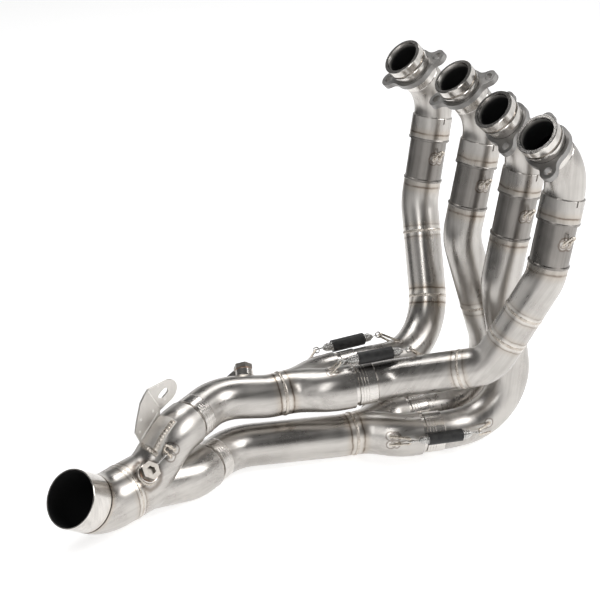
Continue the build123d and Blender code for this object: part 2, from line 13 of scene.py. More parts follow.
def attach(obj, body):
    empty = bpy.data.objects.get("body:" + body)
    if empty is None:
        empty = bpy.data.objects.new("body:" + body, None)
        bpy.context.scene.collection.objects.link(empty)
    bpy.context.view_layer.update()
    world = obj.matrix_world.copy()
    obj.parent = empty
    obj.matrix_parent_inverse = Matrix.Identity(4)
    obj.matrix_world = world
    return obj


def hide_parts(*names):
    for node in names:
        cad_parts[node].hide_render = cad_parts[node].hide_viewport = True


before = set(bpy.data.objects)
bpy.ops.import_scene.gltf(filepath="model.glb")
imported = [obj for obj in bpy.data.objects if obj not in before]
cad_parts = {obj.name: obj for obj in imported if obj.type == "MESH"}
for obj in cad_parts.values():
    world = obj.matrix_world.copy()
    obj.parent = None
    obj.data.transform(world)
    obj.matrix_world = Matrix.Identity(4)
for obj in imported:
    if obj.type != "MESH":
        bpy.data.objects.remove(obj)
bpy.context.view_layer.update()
log = logging.getLogger("header")

Triple = tuple[float, float, float]
Pixel = tuple[float, float]
Socket = bpy.types.NodeSocket

# The CAD is laid out in millimetres about its ports; this carries a point of that layout into the frame.
LAYOUT_SHIFT = Vector((195.623, -13.9923, 0.0))
MM = 0.001
# The part of a noise's range that a soft mask runs over.
SOFT = (0.3, 0.7)
# How rough fine noise is, from one octave to the next.
FINE = 0.7


def place(point: Triple) -> Vector:
    """Carry a point of the layout into the frame.

    Args:
        point: the point in millimetres, in the layout about the ports.

    Returns:
        The point in metres, in the frame.
    """
    return (Vector(point) + LAYOUT_SHIFT) * MM


class Slot(Enum):
    """The record's material slots that share their names with the tube and spring finishes."""

    TUBE = "titanium_tube"
    SPRING = "spring_steel"


# ---------------------------------------------------------------- node graphs


class Graph:
    """A node tree, with short calls for the nodes that the finishes use."""

    def __init__(self, tree: bpy.types.NodeTree) -> None:
        """Keep the tree that the calls add to."""
        self.tree = tree

    def add(self, kind: str, **settings: object) -> bpy.types.Node:
        """Add a node.

        Args:
            kind: the node's type name.
            settings: properties of the node itself.

        Returns:
            The new node.
        """
        node = self.tree.nodes.new(kind)
        for name, value in settings.items():
            setattr(node, name, value)
        return node

    def plug(self, socket: Socket, value: object) -> None:
        """Link a socket to another one, or set its own value.

        Args:
            socket: the input.
            value: an output socket, or a plain value.
        """
        if isinstance(value, bpy.types.NodeSocket):
            self.tree.links.new(value, socket)
        elif socket.type == "RGBA" and len(value) == 3:
            socket.default_value = (*value, 1.0)
        else:
            socket.default_value = value

    def math(self, operation: str, *values: object, clamp: bool = False) -> Socket:
        """Add a Math node.

        Args:
            operation: its operation.
            values: its inputs in order.
            clamp: keep the result between 0 and 1.

        Returns:
            Its output.
        """
        node = self.add("ShaderNodeMath", operation=operation, use_clamp=clamp)
        for socket, value in zip(node.inputs, values):
            self.plug(socket, value)
        return node.outputs[0]

    def vector(self, operation: str, *values: object) -> Socket:
        """Add a Vector Math node.

        Args:
            operation: its operation.
            values: its vector inputs in order, or for SCALE a vector and a number.

        Returns:
            Its output, a number for DOT_PRODUCT, LENGTH and DISTANCE.
        """
        node = self.add("ShaderNodeVectorMath", operation=operation)
        sockets = [node.inputs[0], node.inputs["Scale"]] if operation == "SCALE" else node.inputs
        for socket, value in zip(sockets, values):
            self.plug(socket, value)
        return node.outputs["Value" if operation in ("DOT_PRODUCT", "LENGTH", "DISTANCE") else "Vector"]

    def fade(self, value: object, start: object, end: object, low: float = 0.0, high: float = 1.0) -> Socket:
        """Pass smoothly from one number to another as a value crosses a span.

        Args:
            value: the value that is followed.
            start: where the result is low.
            end: where the result is high.
            low: the first result.
            high: the last result.

        Returns:
            The result's socket.
        """
        node = self.add("ShaderNodeMapRange", interpolation_type="SMOOTHSTEP")
        for name, given in zip(("Value", "From Min", "From Max", "To Min", "To Max"), (value, start, end, low, high)):
            self.plug(node.inputs[name], given)
        return node.outputs["Result"]

    def mix(self, factor: object, first: object, second: object) -> Socket:
        """Mix two colours.

        Args:
            factor: how much of the second colour shows.
            first: the colour at 0.
            second: the colour at 1.

        Returns:
            The mixed colour's socket.
        """
        node = self.add("ShaderNodeMix", data_type="RGBA", clamp_factor=True)
        for index, value in zip((0, 6, 7), (factor, first, second)):
            self.plug(node.inputs[index], value)
        return node.outputs[2]

    def noise(self, position: object, scale: object, detail: float = 3.0, roughness: float = 0.55) -> Socket:
        """Add a Noise Texture.

        Args:
            position: where it is read.
            scale: its scale.
            detail: its number of octaves.
            roughness: how much the finer octaves count.

        Returns:
            Its factor's socket.
        """
        node = self.add("ShaderNodeTexNoise")
        self.plug(node.inputs["Vector"], position)
        self.plug(node.inputs["Scale"], scale)
        node.inputs["Detail"].default_value = detail
        node.inputs["Roughness"].default_value = roughness
        return node.outputs["Factor"] if "Factor" in node.outputs else node.outputs["Fac"]

    def largest(self, values: list[Socket]) -> Socket | float:
        """Give the largest of several masks, or 0 where there are none.

        Args:
            values: the masks.

        Returns:
            The largest one's socket.
        """
        if not values:
            return 0.0
        result = values[0]
        for value in values[1:]:
            result = self.math("MAXIMUM", result, value)
        return result


# ---------------------------------------------------------------- shared effects


class Effect:
    """A shader node group that several finishes share. It is built once."""

    name = "effect"
    inputs: dict[str, str] = {}
    outputs: dict[str, str] = {}
    KINDS = {"number": "NodeSocketFloat", "vector": "NodeSocketVector"}

    def draw(self, graph: Graph, given: dict[str, Socket]) -> dict[str, Socket]:
        """Add the group's own nodes and give its outputs.

        Args:
            graph: the group's graph.
            given: its inputs by name.

        Returns:
            Its outputs by name.
        """
        raise NotImplementedError

    def group(self) -> bpy.types.NodeTree:
        """Return the group, and build it first where it isn't there yet.

        Returns:
            The node group.
        """
        if self.name in bpy.data.node_groups:
            return bpy.data.node_groups[self.name]
        tree = bpy.data.node_groups.new(self.name, "ShaderNodeTree")
        for name, kind in self.inputs.items():
            tree.interface.new_socket(name=name, in_out="INPUT", socket_type=self.KINDS[kind])
        for name, kind in self.outputs.items():
            tree.interface.new_socket(name=name, in_out="OUTPUT", socket_type=self.KINDS[kind])
        graph = Graph(tree)
        entry = graph.add("NodeGroupInput")
        leave = graph.add("NodeGroupOutput")
        results = self.draw(graph, {name: entry.outputs[name] for name in self.inputs})
        for name, socket in results.items():
            graph.plug(leave.inputs[name], socket)
        return tree

    def place_in(self, graph: Graph, **values: object) -> dict[str, Socket]:
        """Add the group to a material with values of its own.

        Args:
            graph: the material's graph.
            values: the inputs by name, with _ for a space.

        Returns:
            The group's outputs by name.
        """
        node = graph.add("ShaderNodeGroup", node_tree=self.group())
        for name, value in values.items():
            graph.plug(node.inputs[name.replace("_", " ")], value)
        return {name: node.outputs[name] for name in self.outputs}


class BrushedGrain(Effect):
    """Fine drawn lines along one direction, with broader streaks between them."""

    name = "brushed_grain"
    inputs = {"Position": "vector", "Lay": "vector", "Lines": "number"}
    outputs = {"Streak": "number", "Line": "number"}
    STRETCH = 0.985
    BROAD = 0.18

    def draw(self, graph: Graph, given: dict[str, Socket]) -> dict[str, Socket]:
        """Squeeze the position along the lay, and read noise there.

        Args:
            graph: the group's graph.
            given: its inputs by name.

        Returns:
            The streaks and the fine lines, each from 0 to 1.
        """
        along = graph.vector("DOT_PRODUCT", given["Position"], given["Lay"])
        part = graph.vector("SCALE", given["Lay"], graph.math("MULTIPLY", along, self.STRETCH))
        squeezed = graph.vector("SUBTRACT", given["Position"], part)
        streak = graph.noise(squeezed, graph.math("MULTIPLY", given["Lines"], self.BROAD), 2.0)
        line = graph.noise(squeezed, given["Lines"], 3.0, FINE)
        return {"Streak": graph.fade(streak, *SOFT), "Line": line}


class Smudges(Effect):
    """Soft clouds and small marks, as handling and polishing leave them."""

    name = "smudges"
    inputs = {"Position": "vector", "Scale": "number"}
    outputs = {"Cloud": "number", "Mark": "number"}
    MARKS_PER_CLOUD = 9.0
    MARK_RANGE = (0.62, 0.76)

    def draw(self, graph: Graph, given: dict[str, Socket]) -> dict[str, Socket]:
        """Read noise at two scales.

        Args:
            graph: the group's graph.
            given: its inputs by name.

        Returns:
            The clouds and the marks, each from 0 to 1.
        """
        cloud = graph.noise(given["Position"], given["Scale"], 3.0)
        small = graph.math("MULTIPLY", given["Scale"], self.MARKS_PER_CLOUD)
        mark = graph.noise(given["Position"], small, 4.0, FINE)
        return {"Cloud": graph.fade(cloud, *SOFT), "Mark": graph.fade(mark, *self.MARK_RANGE)}


class HeatLines(Effect):
    """The tint beside a weld round a tube: a pale band, a brown line on each side and straw beyond."""

    name = "heat_lines"
    inputs = {
        "Position": "vector", "Place": "vector", "Axis": "vector",
        "Reach": "number", "Offset": "number", "Width": "number",
    }
    outputs = {"Brown": "number", "Straw": "number", "Pale": "number"}
    WOBBLE = 0.0026
    WOBBLES = 95.0
    PATCHES = 60.0
    PATCH_RANGE = (0.3, 0.6, 0.35, 1.0)
    STRAW_WIDTHS = 5.0
    PALE_SHARE = 0.45

    def draw(self, graph: Graph, given: dict[str, Socket]) -> dict[str, Socket]:
        """Measure along the tube from the weld's plane, within the tube's reach.

        Args:
            graph: the group's graph.
            given: its inputs by name.

        Returns:
            The three masks, each from 0 to 1.
        """
        away = graph.vector("SUBTRACT", given["Position"], given["Place"])
        along = graph.vector("DOT_PRODUCT", away, given["Axis"])
        radial = graph.vector("LENGTH", graph.vector("SUBTRACT", away, graph.vector("SCALE", given["Axis"], along)))
        inside = graph.math("LESS_THAN", radial, given["Reach"])
        wobble = graph.math("SUBTRACT", graph.noise(given["Position"], self.WOBBLES, 3.0), 0.5)
        moved = graph.math("MULTIPLY_ADD", wobble, self.WOBBLE, along)
        far = graph.math("ABSOLUTE", moved)
        miss = graph.math("ABSOLUTE", graph.math("SUBTRACT", far, given["Offset"]))
        patchy = graph.fade(graph.noise(given["Position"], self.PATCHES, 2.0), *self.PATCH_RANGE)
        brown = graph.math("MULTIPLY", graph.fade(miss, 0.0, given["Width"], 1.0, 0.0), patchy)
        end = graph.math("MULTIPLY_ADD", given["Width"], self.STRAW_WIDTHS, given["Offset"])
        straw = graph.fade(far, given["Offset"], end, 1.0, 0.0)
        near = graph.math("MULTIPLY", given["Offset"], self.PALE_SHARE)
        pale = graph.fade(far, near, given["Offset"], 1.0, 0.0)
        return {
            "Brown": graph.math("MULTIPLY", brown, inside),
            "Straw": graph.math("MULTIPLY", straw, inside),
            "Pale": graph.math("MULTIPLY", pale, inside),
        }


class WeldHalo(Effect):
    """The tint round a small weld: pale next to it, with a brown edge."""

    name = "weld_halo"
    inputs = {"Position": "vector", "Place": "vector", "Radius": "number"}
    outputs = {"Brown": "number", "Pale": "number"}
    WOBBLE = 0.003
    WOBBLES = 180.0
    EDGE = 0.3

    def draw(self, graph: Graph, given: dict[str, Socket]) -> dict[str, Socket]:
        """Measure from the weld's middle.

        Args:
            graph: the group's graph.
            given: its inputs by name.

        Returns:
            The two masks, each from 0 to 1.
        """
        wobble = graph.math("SUBTRACT", graph.noise(given["Position"], self.WOBBLES, 2.0), 0.5)
        far = graph.vector("DISTANCE", given["Position"], given["Place"])
        moved = graph.math("MULTIPLY_ADD", wobble, self.WOBBLE, far)
        ratio = graph.math("DIVIDE", moved, given["Radius"])
        miss = graph.math("ABSOLUTE", graph.math("SUBTRACT", ratio, 1.0))
        return {
            "Brown": graph.fade(miss, 0.0, self.EDGE, 1.0, 0.0),
            "Pale": graph.fade(ratio, 1.0 - self.EDGE, 1.0, 1.0, 0.0),
        }


class BoreShade(Effect):
    """Painted shade inside a bore: dark from a depth below its mouth."""

    name = "bore_painted_shade"
    inputs = {
        "Position": "vector", "Mouth": "vector", "Axis": "vector",
        "Radius": "number", "Depth": "number", "End": "number",
    }
    outputs = {"PaintedShade": "number"}

    def draw(self, graph: Graph, given: dict[str, Socket]) -> dict[str, Socket]:
        """Measure from the bore's axis and along it.

        Args:
            graph: the group's graph.
            given: its inputs by name.

        Returns:
            The mask, from 0 to 1.
        """
        away = graph.vector("SUBTRACT", given["Position"], given["Mouth"])
        along = graph.vector("DOT_PRODUCT", away, given["Axis"])
        radial = graph.vector("LENGTH", graph.vector("SUBTRACT", away, graph.vector("SCALE", given["Axis"], along)))
        inside = graph.math("LESS_THAN", radial, given["Radius"])
        deep = graph.fade(along, 0.0, given["Depth"])
        near = graph.math("LESS_THAN", along, given["End"])
        return {"PaintedShade": graph.math("MULTIPLY", graph.math("MULTIPLY", inside, deep), near)}


class BendShade(Effect):
    """Painted shade inside a bent tube, measured from the bend's centre line."""

    name = "bend_painted_shade"
    inputs = {
        "Position": "vector", "Centre": "vector", "Normal": "vector", "Middle": "vector",
        "Turn": "number", "Radius": "number", "Spread": "number",
    }
    outputs = {"PaintedShade": "number"}

    def draw(self, graph: Graph, given: dict[str, Socket]) -> dict[str, Socket]:
        """Measure from the arc that the tube's centre line follows.

        Args:
            graph: the group's graph.
            given: its inputs by name.

        Returns:
            The mask, 0 or 1.
        """
        away = graph.vector("SUBTRACT", given["Position"], given["Centre"])
        height = graph.vector("DOT_PRODUCT", away, given["Normal"])
        level = graph.vector("SUBTRACT", away, graph.vector("SCALE", given["Normal"], height))
        reach = graph.vector("LENGTH", level)
        miss = graph.math("SUBTRACT", reach, given["Turn"])
        square = graph.math("MULTIPLY_ADD", miss, miss, graph.math("MULTIPLY", height, height))
        inside = graph.math("LESS_THAN", graph.math("SQRT", square), given["Radius"])
        toward = graph.math("DIVIDE", graph.vector("DOT_PRODUCT", level, given["Middle"]), reach)
        within = graph.math("GREATER_THAN", toward, given["Spread"])
        return {"PaintedShade": graph.math("MULTIPLY", inside, within)}


# ---------------------------------------------------------------- marks and finishes


@dataclass(frozen=True)
class Seam:
    """A weld round a tube, or with no offset a single tinted line."""

    point: Triple
    axis: Triple
    reach: float = 28.0
    offset: float = 7.0
    width: float = 1.3
    strength: float = 1.0


@dataclass(frozen=True)
class Bore:
    """Painted shade inside a bore."""

    mouth: Triple
    axis: Triple
    radius: float
    depth: float
    end: float


@dataclass(frozen=True)
class BendBore:
    """Painted shade inside a bend: its corner, the directions into and out of it, and its sizes."""

    corner: Triple
    before: Triple
    after: Triple
    turn: float
    radius: float

    def place_in(self, graph: Graph, position: Socket) -> Socket:
        """Add the painted shade inside this bend to a material.

        Args:
            graph: the material's graph.
            position: where it is read.

        Returns:
            The mask.
        """
        before, after = Vector(self.before).normalized(), Vector(self.after).normalized()
        half = before.angle(after) / 2
        inner = (after - before).normalized()
        centre = place(self.corner) + inner * self.turn * MM / math.cos(half)
        return BendShade().place_in(
            graph, Position=position, Centre=centre, Normal=before.cross(after).normalized(), Middle=-inner,
            Turn=self.turn * MM, Radius=self.radius * MM, Spread=math.cos(half),
        )["PaintedShade"]


@dataclass(frozen=True)
class Marks:
    """The places on one material that welding has coloured, and the bores and bends where shade is painted."""

    seams: tuple[Seam, ...] = ()
    halos: tuple[tuple[Vector, float], ...] = ()
    bores: tuple[Bore, ...] = ()
    bends: tuple[BendBore, ...] = ()


@dataclass(frozen=True)
class MetalFinish:
    """A bare metal: its two tones, its gloss, the lay of its grain and its marks."""

    name: str
    light: Triple
    dark: Triple
    roughness: float
    lay: Triple = (0.0, 0.0, 1.0)
    lines: float = 900.0
    grain: float = 0.5
    relief: float = 0.00002
    clouds: float = 22.0
    spread: float = 0.10
    brown: Triple = (0.10, 0.063, 0.04)
    straw: Triple = (0.46, 0.37, 0.27)
    pale: Triple = (0.74, 0.71, 0.67)
    # The near-black colour of the painted shade inside bores.
    painted_shade: Triple = (0.006, 0.006, 0.006)
    metallic: float = 1.0
    mark_roughness: float = 0.06
    bump: float = 0.6
    straw_share: float = 0.35
    pale_share: float = 0.6
    brown_share: float = 0.75
    halo_strength: float = 0.8

    def laid(self, lay: Triple, clouds: float = 22.0) -> "MetalFinish":
        """Give the same metal, brushed another way and with the usual lines.

        Args:
            lay: the direction of the brushed lines.
            clouds: the scale of its clouds.

        Returns:
            The finish.
        """
        return MetalFinish(self.name, self.light, self.dark, self.roughness, lay=lay, clouds=clouds)

    def material(self, suffix: str = "", marks: Marks = Marks()) -> bpy.types.Material:
        """Build the material.

        Args:
            suffix: what is added to the finish's name.
            marks: the places that it tints.

        Returns:
            The material.
        """
        made = bpy.data.materials.new(self.name + suffix)
        made.use_nodes = True
        graph = Graph(made.node_tree)
        shader = made.node_tree.nodes["Principled BSDF"]
        position = graph.add("ShaderNodeTexCoord").outputs["Object"]
        lay = Vector(self.lay).normalized()
        grain = BrushedGrain().place_in(graph, Position=position, Lay=lay, Lines=self.lines)
        smudge = Smudges().place_in(graph, Position=position, Scale=self.clouds)
        tone = graph.math("MULTIPLY", graph.math("ADD", grain["Streak"], grain["Line"]), self.grain)
        tone = graph.math("MULTIPLY_ADD", smudge["Cloud"], 1.0 - self.grain, tone, clamp=True)
        colour = graph.mix(tone, self.dark, self.light)
        colour, shade_mask = self.tint(graph, position, colour, marks)
        graph.plug(shader.inputs["Base Color"], colour)
        rough = graph.math("MULTIPLY_ADD", smudge["Cloud"], self.spread, self.roughness - self.spread / 2)
        rough = graph.math("MULTIPLY_ADD", grain["Streak"], self.spread / 2, rough)
        rough = graph.math("MULTIPLY_ADD", smudge["Mark"], self.mark_roughness, rough)
        graph.plug(shader.inputs["Roughness"], graph.math("MULTIPLY_ADD", shade_mask, 0.5, rough, clamp=True))
        # Where shade is painted inside a bore, the metal also turns matte and not metallic.
        if marks.bores:
            graph.plug(shader.inputs["Metallic"], graph.math("SUBTRACT", 1.0, shade_mask, clamp=True))
        else:
            shader.inputs["Metallic"].default_value = self.metallic
        bump = graph.add("ShaderNodeBump")
        bump.inputs["Strength"].default_value = self.bump
        bump.inputs["Distance"].default_value = self.relief
        graph.plug(bump.inputs["Height"], graph.math("MULTIPLY_ADD", smudge["Mark"], -0.5, grain["Line"]))
        graph.plug(shader.inputs["Normal"], bump.outputs["Normal"])
        return made

    def tint(self, graph: Graph, position: Socket, colour: Socket, marks: Marks) -> tuple[Socket, Socket | float]:
        """Lay the heat tint and the painted shade of the bores over the metal's own colour.

        Args:
            graph: the material's graph.
            position: where it is read.
            colour: the metal's own colour.
            marks: the tinted places.

        Returns:
            The tinted colour, and the painted shade's mask.
        """
        brown, straw, pale = [], [], []
        for seam in marks.seams:
            out = HeatLines().place_in(
                graph, Position=position, Place=place(seam.point), Axis=Vector(seam.axis).normalized(),
                Reach=seam.reach * MM, Offset=seam.offset * MM, Width=seam.width * MM,
            )
            brown.append(graph.math("MULTIPLY", out["Brown"], seam.strength))
            straw.append(graph.math("MULTIPLY", out["Straw"], seam.strength))
            if seam.offset:
                pale.append(out["Pale"])
        for point, radius in marks.halos:
            out = WeldHalo().place_in(graph, Position=position, Place=point, Radius=radius * MM)
            brown.append(graph.math("MULTIPLY", out["Brown"], self.halo_strength))
            pale.append(out["Pale"])
        painted_shade = [
            BoreShade().place_in(
                graph, Position=position, Mouth=place(bore.mouth), Axis=Vector(bore.axis).normalized(),
                Radius=bore.radius * MM, Depth=bore.depth * MM, End=bore.end * MM,
            )["PaintedShade"]
            for bore in marks.bores
        ]
        painted_shade += [bend.place_in(graph, position) for bend in marks.bends]
        layers = (
            (straw, self.straw_share, self.straw),
            (pale, self.pale_share, self.pale),
            (brown, self.brown_share, self.brown),
        )
        for masks, share, shade in layers:
            if masks:
                colour = graph.mix(graph.math("MULTIPLY", graph.largest(masks), share), colour, shade)
        # Painted shade darkens the inside of bores and bends.
        if painted_shade:
            colour = graph.mix(graph.largest(painted_shade), colour, self.painted_shade)
        return colour, graph.largest(painted_shade)


@dataclass(frozen=True)
class RubberFinish:
    """Black rubber with a fine grain and dusty high spots."""

    name: str = "black_rubber"
    deep: Triple = (0.012, 0.012, 0.012)
    dusty: Triple = (0.035, 0.034, 0.033)
    roughness: float = 0.42
    spread: float = 0.15
    relief: float = 0.00015
    clouds: float = 160.0
    lines: float = 700.0

    def material(self) -> bpy.types.Material:
        """Build the material.

        Returns:
            The material.
        """
        made = bpy.data.materials.new(self.name)
        made.use_nodes = True
        graph = Graph(made.node_tree)
        shader = made.node_tree.nodes["Principled BSDF"]
        position = graph.add("ShaderNodeTexCoord").outputs["Object"]
        smudge = Smudges().place_in(graph, Position=position, Scale=self.clouds)
        lay = Vector((1.0, 0.0, 0.0))
        grain = BrushedGrain().place_in(graph, Position=position, Lay=lay, Lines=self.lines)
        graph.plug(shader.inputs["Base Color"], graph.mix(smudge["Cloud"], self.deep, self.dusty))
        rough = graph.math("MULTIPLY_ADD", smudge["Cloud"], self.spread, self.roughness)
        graph.plug(shader.inputs["Roughness"], rough)
        bump = graph.add("ShaderNodeBump")
        bump.inputs["Distance"].default_value = self.relief
        graph.plug(bump.inputs["Height"], graph.math("ADD", grain["Line"], smudge["Cloud"]))
        graph.plug(shader.inputs["Normal"], bump.outputs["Normal"])
        return made


TUBE = MetalFinish("titanium_tube", light=(0.57, 0.545, 0.515), dark=(0.34, 0.32, 0.30), roughness=0.28)
# Darker than the tube: partly the sections' own tone, partly a painted dark reflection.
SECTION_TONE_AND_SHADE = MetalFinish("titanium_section", light=(0.33, 0.31, 0.29), dark=(0.15, 0.14, 0.13), roughness=0.30)
MACHINED = MetalFinish(
    "machined_titanium", light=(0.72, 0.69, 0.655), dark=(0.52, 0.495, 0.465), roughness=0.19, lines=1500.0,
    spread=0.06,
)
FLANGE = MetalFinish(
    "flange_titanium", light=(0.36, 0.35, 0.34), dark=(0.24, 0.235, 0.23), roughness=0.46, lines=420.0,
    relief=0.00008, clouds=70.0,
)
SHEET = MetalFinish(
    "bracket_sheet", light=(0.76, 0.735, 0.70), dark=(0.64, 0.615, 0.585), roughness=0.5, lines=600.0, clouds=45.0,
)
WELD = MetalFinish(
    "weld_bead", light=(0.66, 0.61, 0.55), dark=(0.34, 0.29, 0.24), roughness=0.27, lines=300.0, clouds=260.0,
)
SPRING = MetalFinish("spring_steel", light=(0.66, 0.65, 0.63), dark=(0.44, 0.43, 0.42), roughness=0.24, clouds=300.0)
HOOK = MetalFinish("hook_wire", light=(0.66, 0.61, 0.54), dark=(0.38, 0.32, 0.26), roughness=0.26, clouds=240.0)
# A pale finish whose colour is a painted highlight along the bracket's bends.
FOLD_HIGHLIGHT = MetalFinish("fold_painted_highlight", light=(0.92, 0.90, 0.87), dark=(0.80, 0.78, 0.75), roughness=0.55, clouds=45.0)
PLUG = MetalFinish("plug_steel", light=(0.38, 0.355, 0.325), dark=(0.22, 0.20, 0.18), roughness=0.36, clouds=150.0)
COPPER = MetalFinish(
    "copper_washer", light=(0.42, 0.29, 0.22), dark=(0.27, 0.18, 0.135), roughness=0.34, clouds=200.0,
)


# ---------------------------------------------------------------- meshes


@dataclass
class Surface:
    """The meshes of some CAD nodes as one thing that rays and nearest points are looked up on."""

    nodes: list[str]
    tree: BVHTree = field(init=False)
    owner: list[str] = field(init=False, default_factory=list)

    def __post_init__(self) -> None:
        """Gather the nodes' faces."""
        points, faces = [], []
        for name in self.nodes:
            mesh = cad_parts[name].data
            start = len(points)
            points += [vertex.co.copy() for vertex in mesh.vertices]
            for polygon in mesh.polygons:
                faces.append([start + index for index in polygon.vertices])
                self.owner.append(name)
        self.tree = BVHTree.FromPolygons(points, faces)


@dataclass(frozen=True)
class Station:
    """A point of a weld's path and the direction out of the metal there."""

    point: Vector
    normal: Vector


def around(axis: Vector, count: int) -> list[Vector]:
    """Give evenly spread directions square to an axis.

    Args:
        axis: the axis.
        count: the number of directions.

    Returns:
        The directions.
    """
    across = axis.orthogonal().normalized()
    other = axis.cross(across).normalized()
    angles = [2 * math.pi * index / count for index in range(count)]
    return [across * math.cos(angle) + other * math.sin(angle) for angle in angles]


@dataclass
class BeadMaker:
    """Sweeps a rippled weld bead along a path on the metal."""

    width: float = 3.0
    height: float = 0.45
    pitch: float = 1.5
    sink: float = 0.25
    depth: float = 0.45
    lag: float = 1.6
    steps: int = 6
    arc: int = 8
    ground: float = 0.0

    def offset(self, travelled: float, across: float) -> float:
        """Give the bead's height at one place of its section.

        Args:
            travelled: how far along the path, in millimetres.
            across: from -1 at one edge to 1 at the other.

        Returns:
            The height in millimetres.
        """
        phase = travelled / self.pitch + self.lag * (1 - across * across) / math.pi
        puddle = 1.0 - self.depth * (phase - math.floor(phase)) ** 2
        return self.height * math.sqrt(max(0.0, 1 - across * across)) * puddle

    def mesh(self, name: str, stations: list[Station], closed: bool) -> bpy.types.Mesh:
        """Build the bead's mesh.

        Args:
            name: its name.
            stations: its path.
            closed: whether its end meets its start.

        Returns:
            The mesh.
        """
        count = len(stations)
        rows, faces, travelled = [], [], 0.0
        for index, station in enumerate(stations):
            after = stations[(index + 1) % count] if closed or index + 1 < count else station
            before = stations[index - 1] if closed or index else station
            tangent = (after.point - before.point).normalized()
            side = tangent.cross(station.normal).normalized()
            tip = min(1.0, (index + 0.6) / 4, (count - index - 0.4) / 4) if not closed else 1.0
            row = []
            for corner in range(self.arc + 1):
                across = math.cos(math.pi * corner / self.arc)
                lift = self.offset(travelled / MM, across) * tip
                row.append(station.point + side * across * tip * self.width / 2 * MM + station.normal * lift * MM)
            base = station.point - station.normal * self.sink * MM
            row.append(base - side * tip * self.width / 2 * MM)
            row.append(base + side * tip * self.width / 2 * MM)
            rows.append(row)
            if index + 1 < count:
                travelled += (stations[index + 1].point - station.point).length
        size = self.arc + 3
        points = [(point.x, point.y, max(point.z, self.ground)) for row in rows for point in row]
        for index in range(count if closed else count - 1):
            low, high = index * size, (index + 1) % count * size
            for corner in range(size):
                after = (corner + 1) % size
                faces.append((low + corner, high + corner, high + after, low + after))
        if not closed:
            faces.append(tuple(range(size)))
            faces.append(tuple(reversed(range((count - 1) * size, count * size))))
        mesh = bpy.data.meshes.new(name)
        mesh.from_pydata(points, [], faces)
        mesh.validate()
        for polygon in mesh.polygons:
            polygon.use_smooth = True
        return mesh

    def ring(self, point: Vector, axis: Vector, radius: float) -> list[Station]:
        """Give the stations of a bead round a tube.

        Args:
            point: the ring's middle.
            axis: the tube's direction.
            radius: the tube's radius in millimetres.

        Returns:
            The stations.
        """
        puddles = round(2 * math.pi * radius / self.pitch)
        return [Station(point + out * radius * MM, out) for out in around(axis, puddles * self.steps)]


TUBE_BEAD = BeadMaker()
HOOK_BEAD = BeadMaker(width=1.5, height=0.7, pitch=1.1, sink=0.4, steps=5, arc=6)
MERGE_BEAD = BeadMaker(width=3.2, height=0.5)
BOSS_BEAD = BeadMaker(width=3.6, height=0.9, pitch=1.8, sink=0.6)
COLLECTOR_BEAD = BeadMaker(width=2.4, height=0.4, pitch=1.5)
FOLD_BEAD = BeadMaker(width=1.7, height=0.45, pitch=4.0, sink=0.1, depth=0.0)
DIMPLE_BEAD = BeadMaker(width=1.1, height=0.4, pitch=4.0, sink=0.1, depth=0.0, steps=16, arc=6)
CHAIN_BEAD = BeadMaker(width=5.0, height=1.7, pitch=3.6, sink=0.5, depth=0.7)


def piece(name: str, mesh: bpy.types.Mesh, material: bpy.types.Material) -> bpy.types.Object:
    """Make a mesh a piece of the part.

    Args:
        name: the piece's name.
        mesh: its mesh.
        material: its material.

    Returns:
        The piece's object.
    """
    made = bpy.data.objects.new(name, mesh)
    bpy.context.scene.collection.objects.link(made)
    mesh.materials.clear()
    mesh.materials.append(material)
    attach(made, "root")
    log.info("%s: %d faces", name, len(mesh.polygons))
    return made


def joined(name: str, meshes: list[bpy.types.Mesh]) -> bpy.types.Mesh:
    """Join several meshes into one.

    Args:
        name: the new mesh's name.
        meshes: the meshes.

    Returns:
        The joined mesh.
    """
    points, faces = [], []
    for mesh in meshes:
        start = len(points)
        points += [tuple(vertex.co) for vertex in mesh.vertices]
        faces += [[start + index for index in polygon.vertices] for polygon in mesh.polygons]
    made = bpy.data.meshes.new(name)
    made.from_pydata(points, [], faces)
    for polygon in made.polygons:
        polygon.use_smooth = True
    return made


def wire_mesh(name: str, points: list[Vector], radius: float, cyclic: bool = False, sides: int = 3) -> bpy.types.Mesh:
    """Make a round wire along a smooth line.

    Args:
        name: the mesh's name.
        points: the line's points.
        radius: the wire's radius in millimetres.
        cyclic: whether the line is closed.
        sides: the bevel's resolution.

    Returns:
        The mesh.
    """
    curve = bpy.data.curves.new(name, "CURVE")
    curve.dimensions = "3D"
    curve.bevel_depth = radius * MM
    curve.bevel_resolution = sides
    curve.use_fill_caps = not cyclic
    spline = curve.splines.new("POLY")
    spline.points.add(len(points) - 1)
    for target, point in zip(spline.points, points):
        target.co = (*point, 1.0)
    spline.use_cyclic_u = cyclic
    holder = bpy.data.objects.new(name, curve)
    mesh = bpy.data.meshes.new_from_object(holder)
    mesh.name = name
    bpy.data.objects.remove(holder)
    for polygon in mesh.polygons:
        polygon.use_smooth = True
    return mesh


def dress(names: list[str], material: bpy.types.Material) -> None:
    """Give CAD nodes a material.

    Args:
        names: the nodes.
        material: the material.
    """
    for name in names:
        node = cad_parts[name]
        while len(node.material_slots) == 0:
            node.data.materials.append(material)
        for index in range(len(node.material_slots)):
            node.material_slots[index].material = material
        log.info("%s: %s", name, material.name)


# ---------------------------------------------------------------- hook feet


@dataclass(frozen=True)
class Foot:
    """Where a hook's leg is welded to the metal."""

    point: Vector
    normal: Vector
    carrier: str


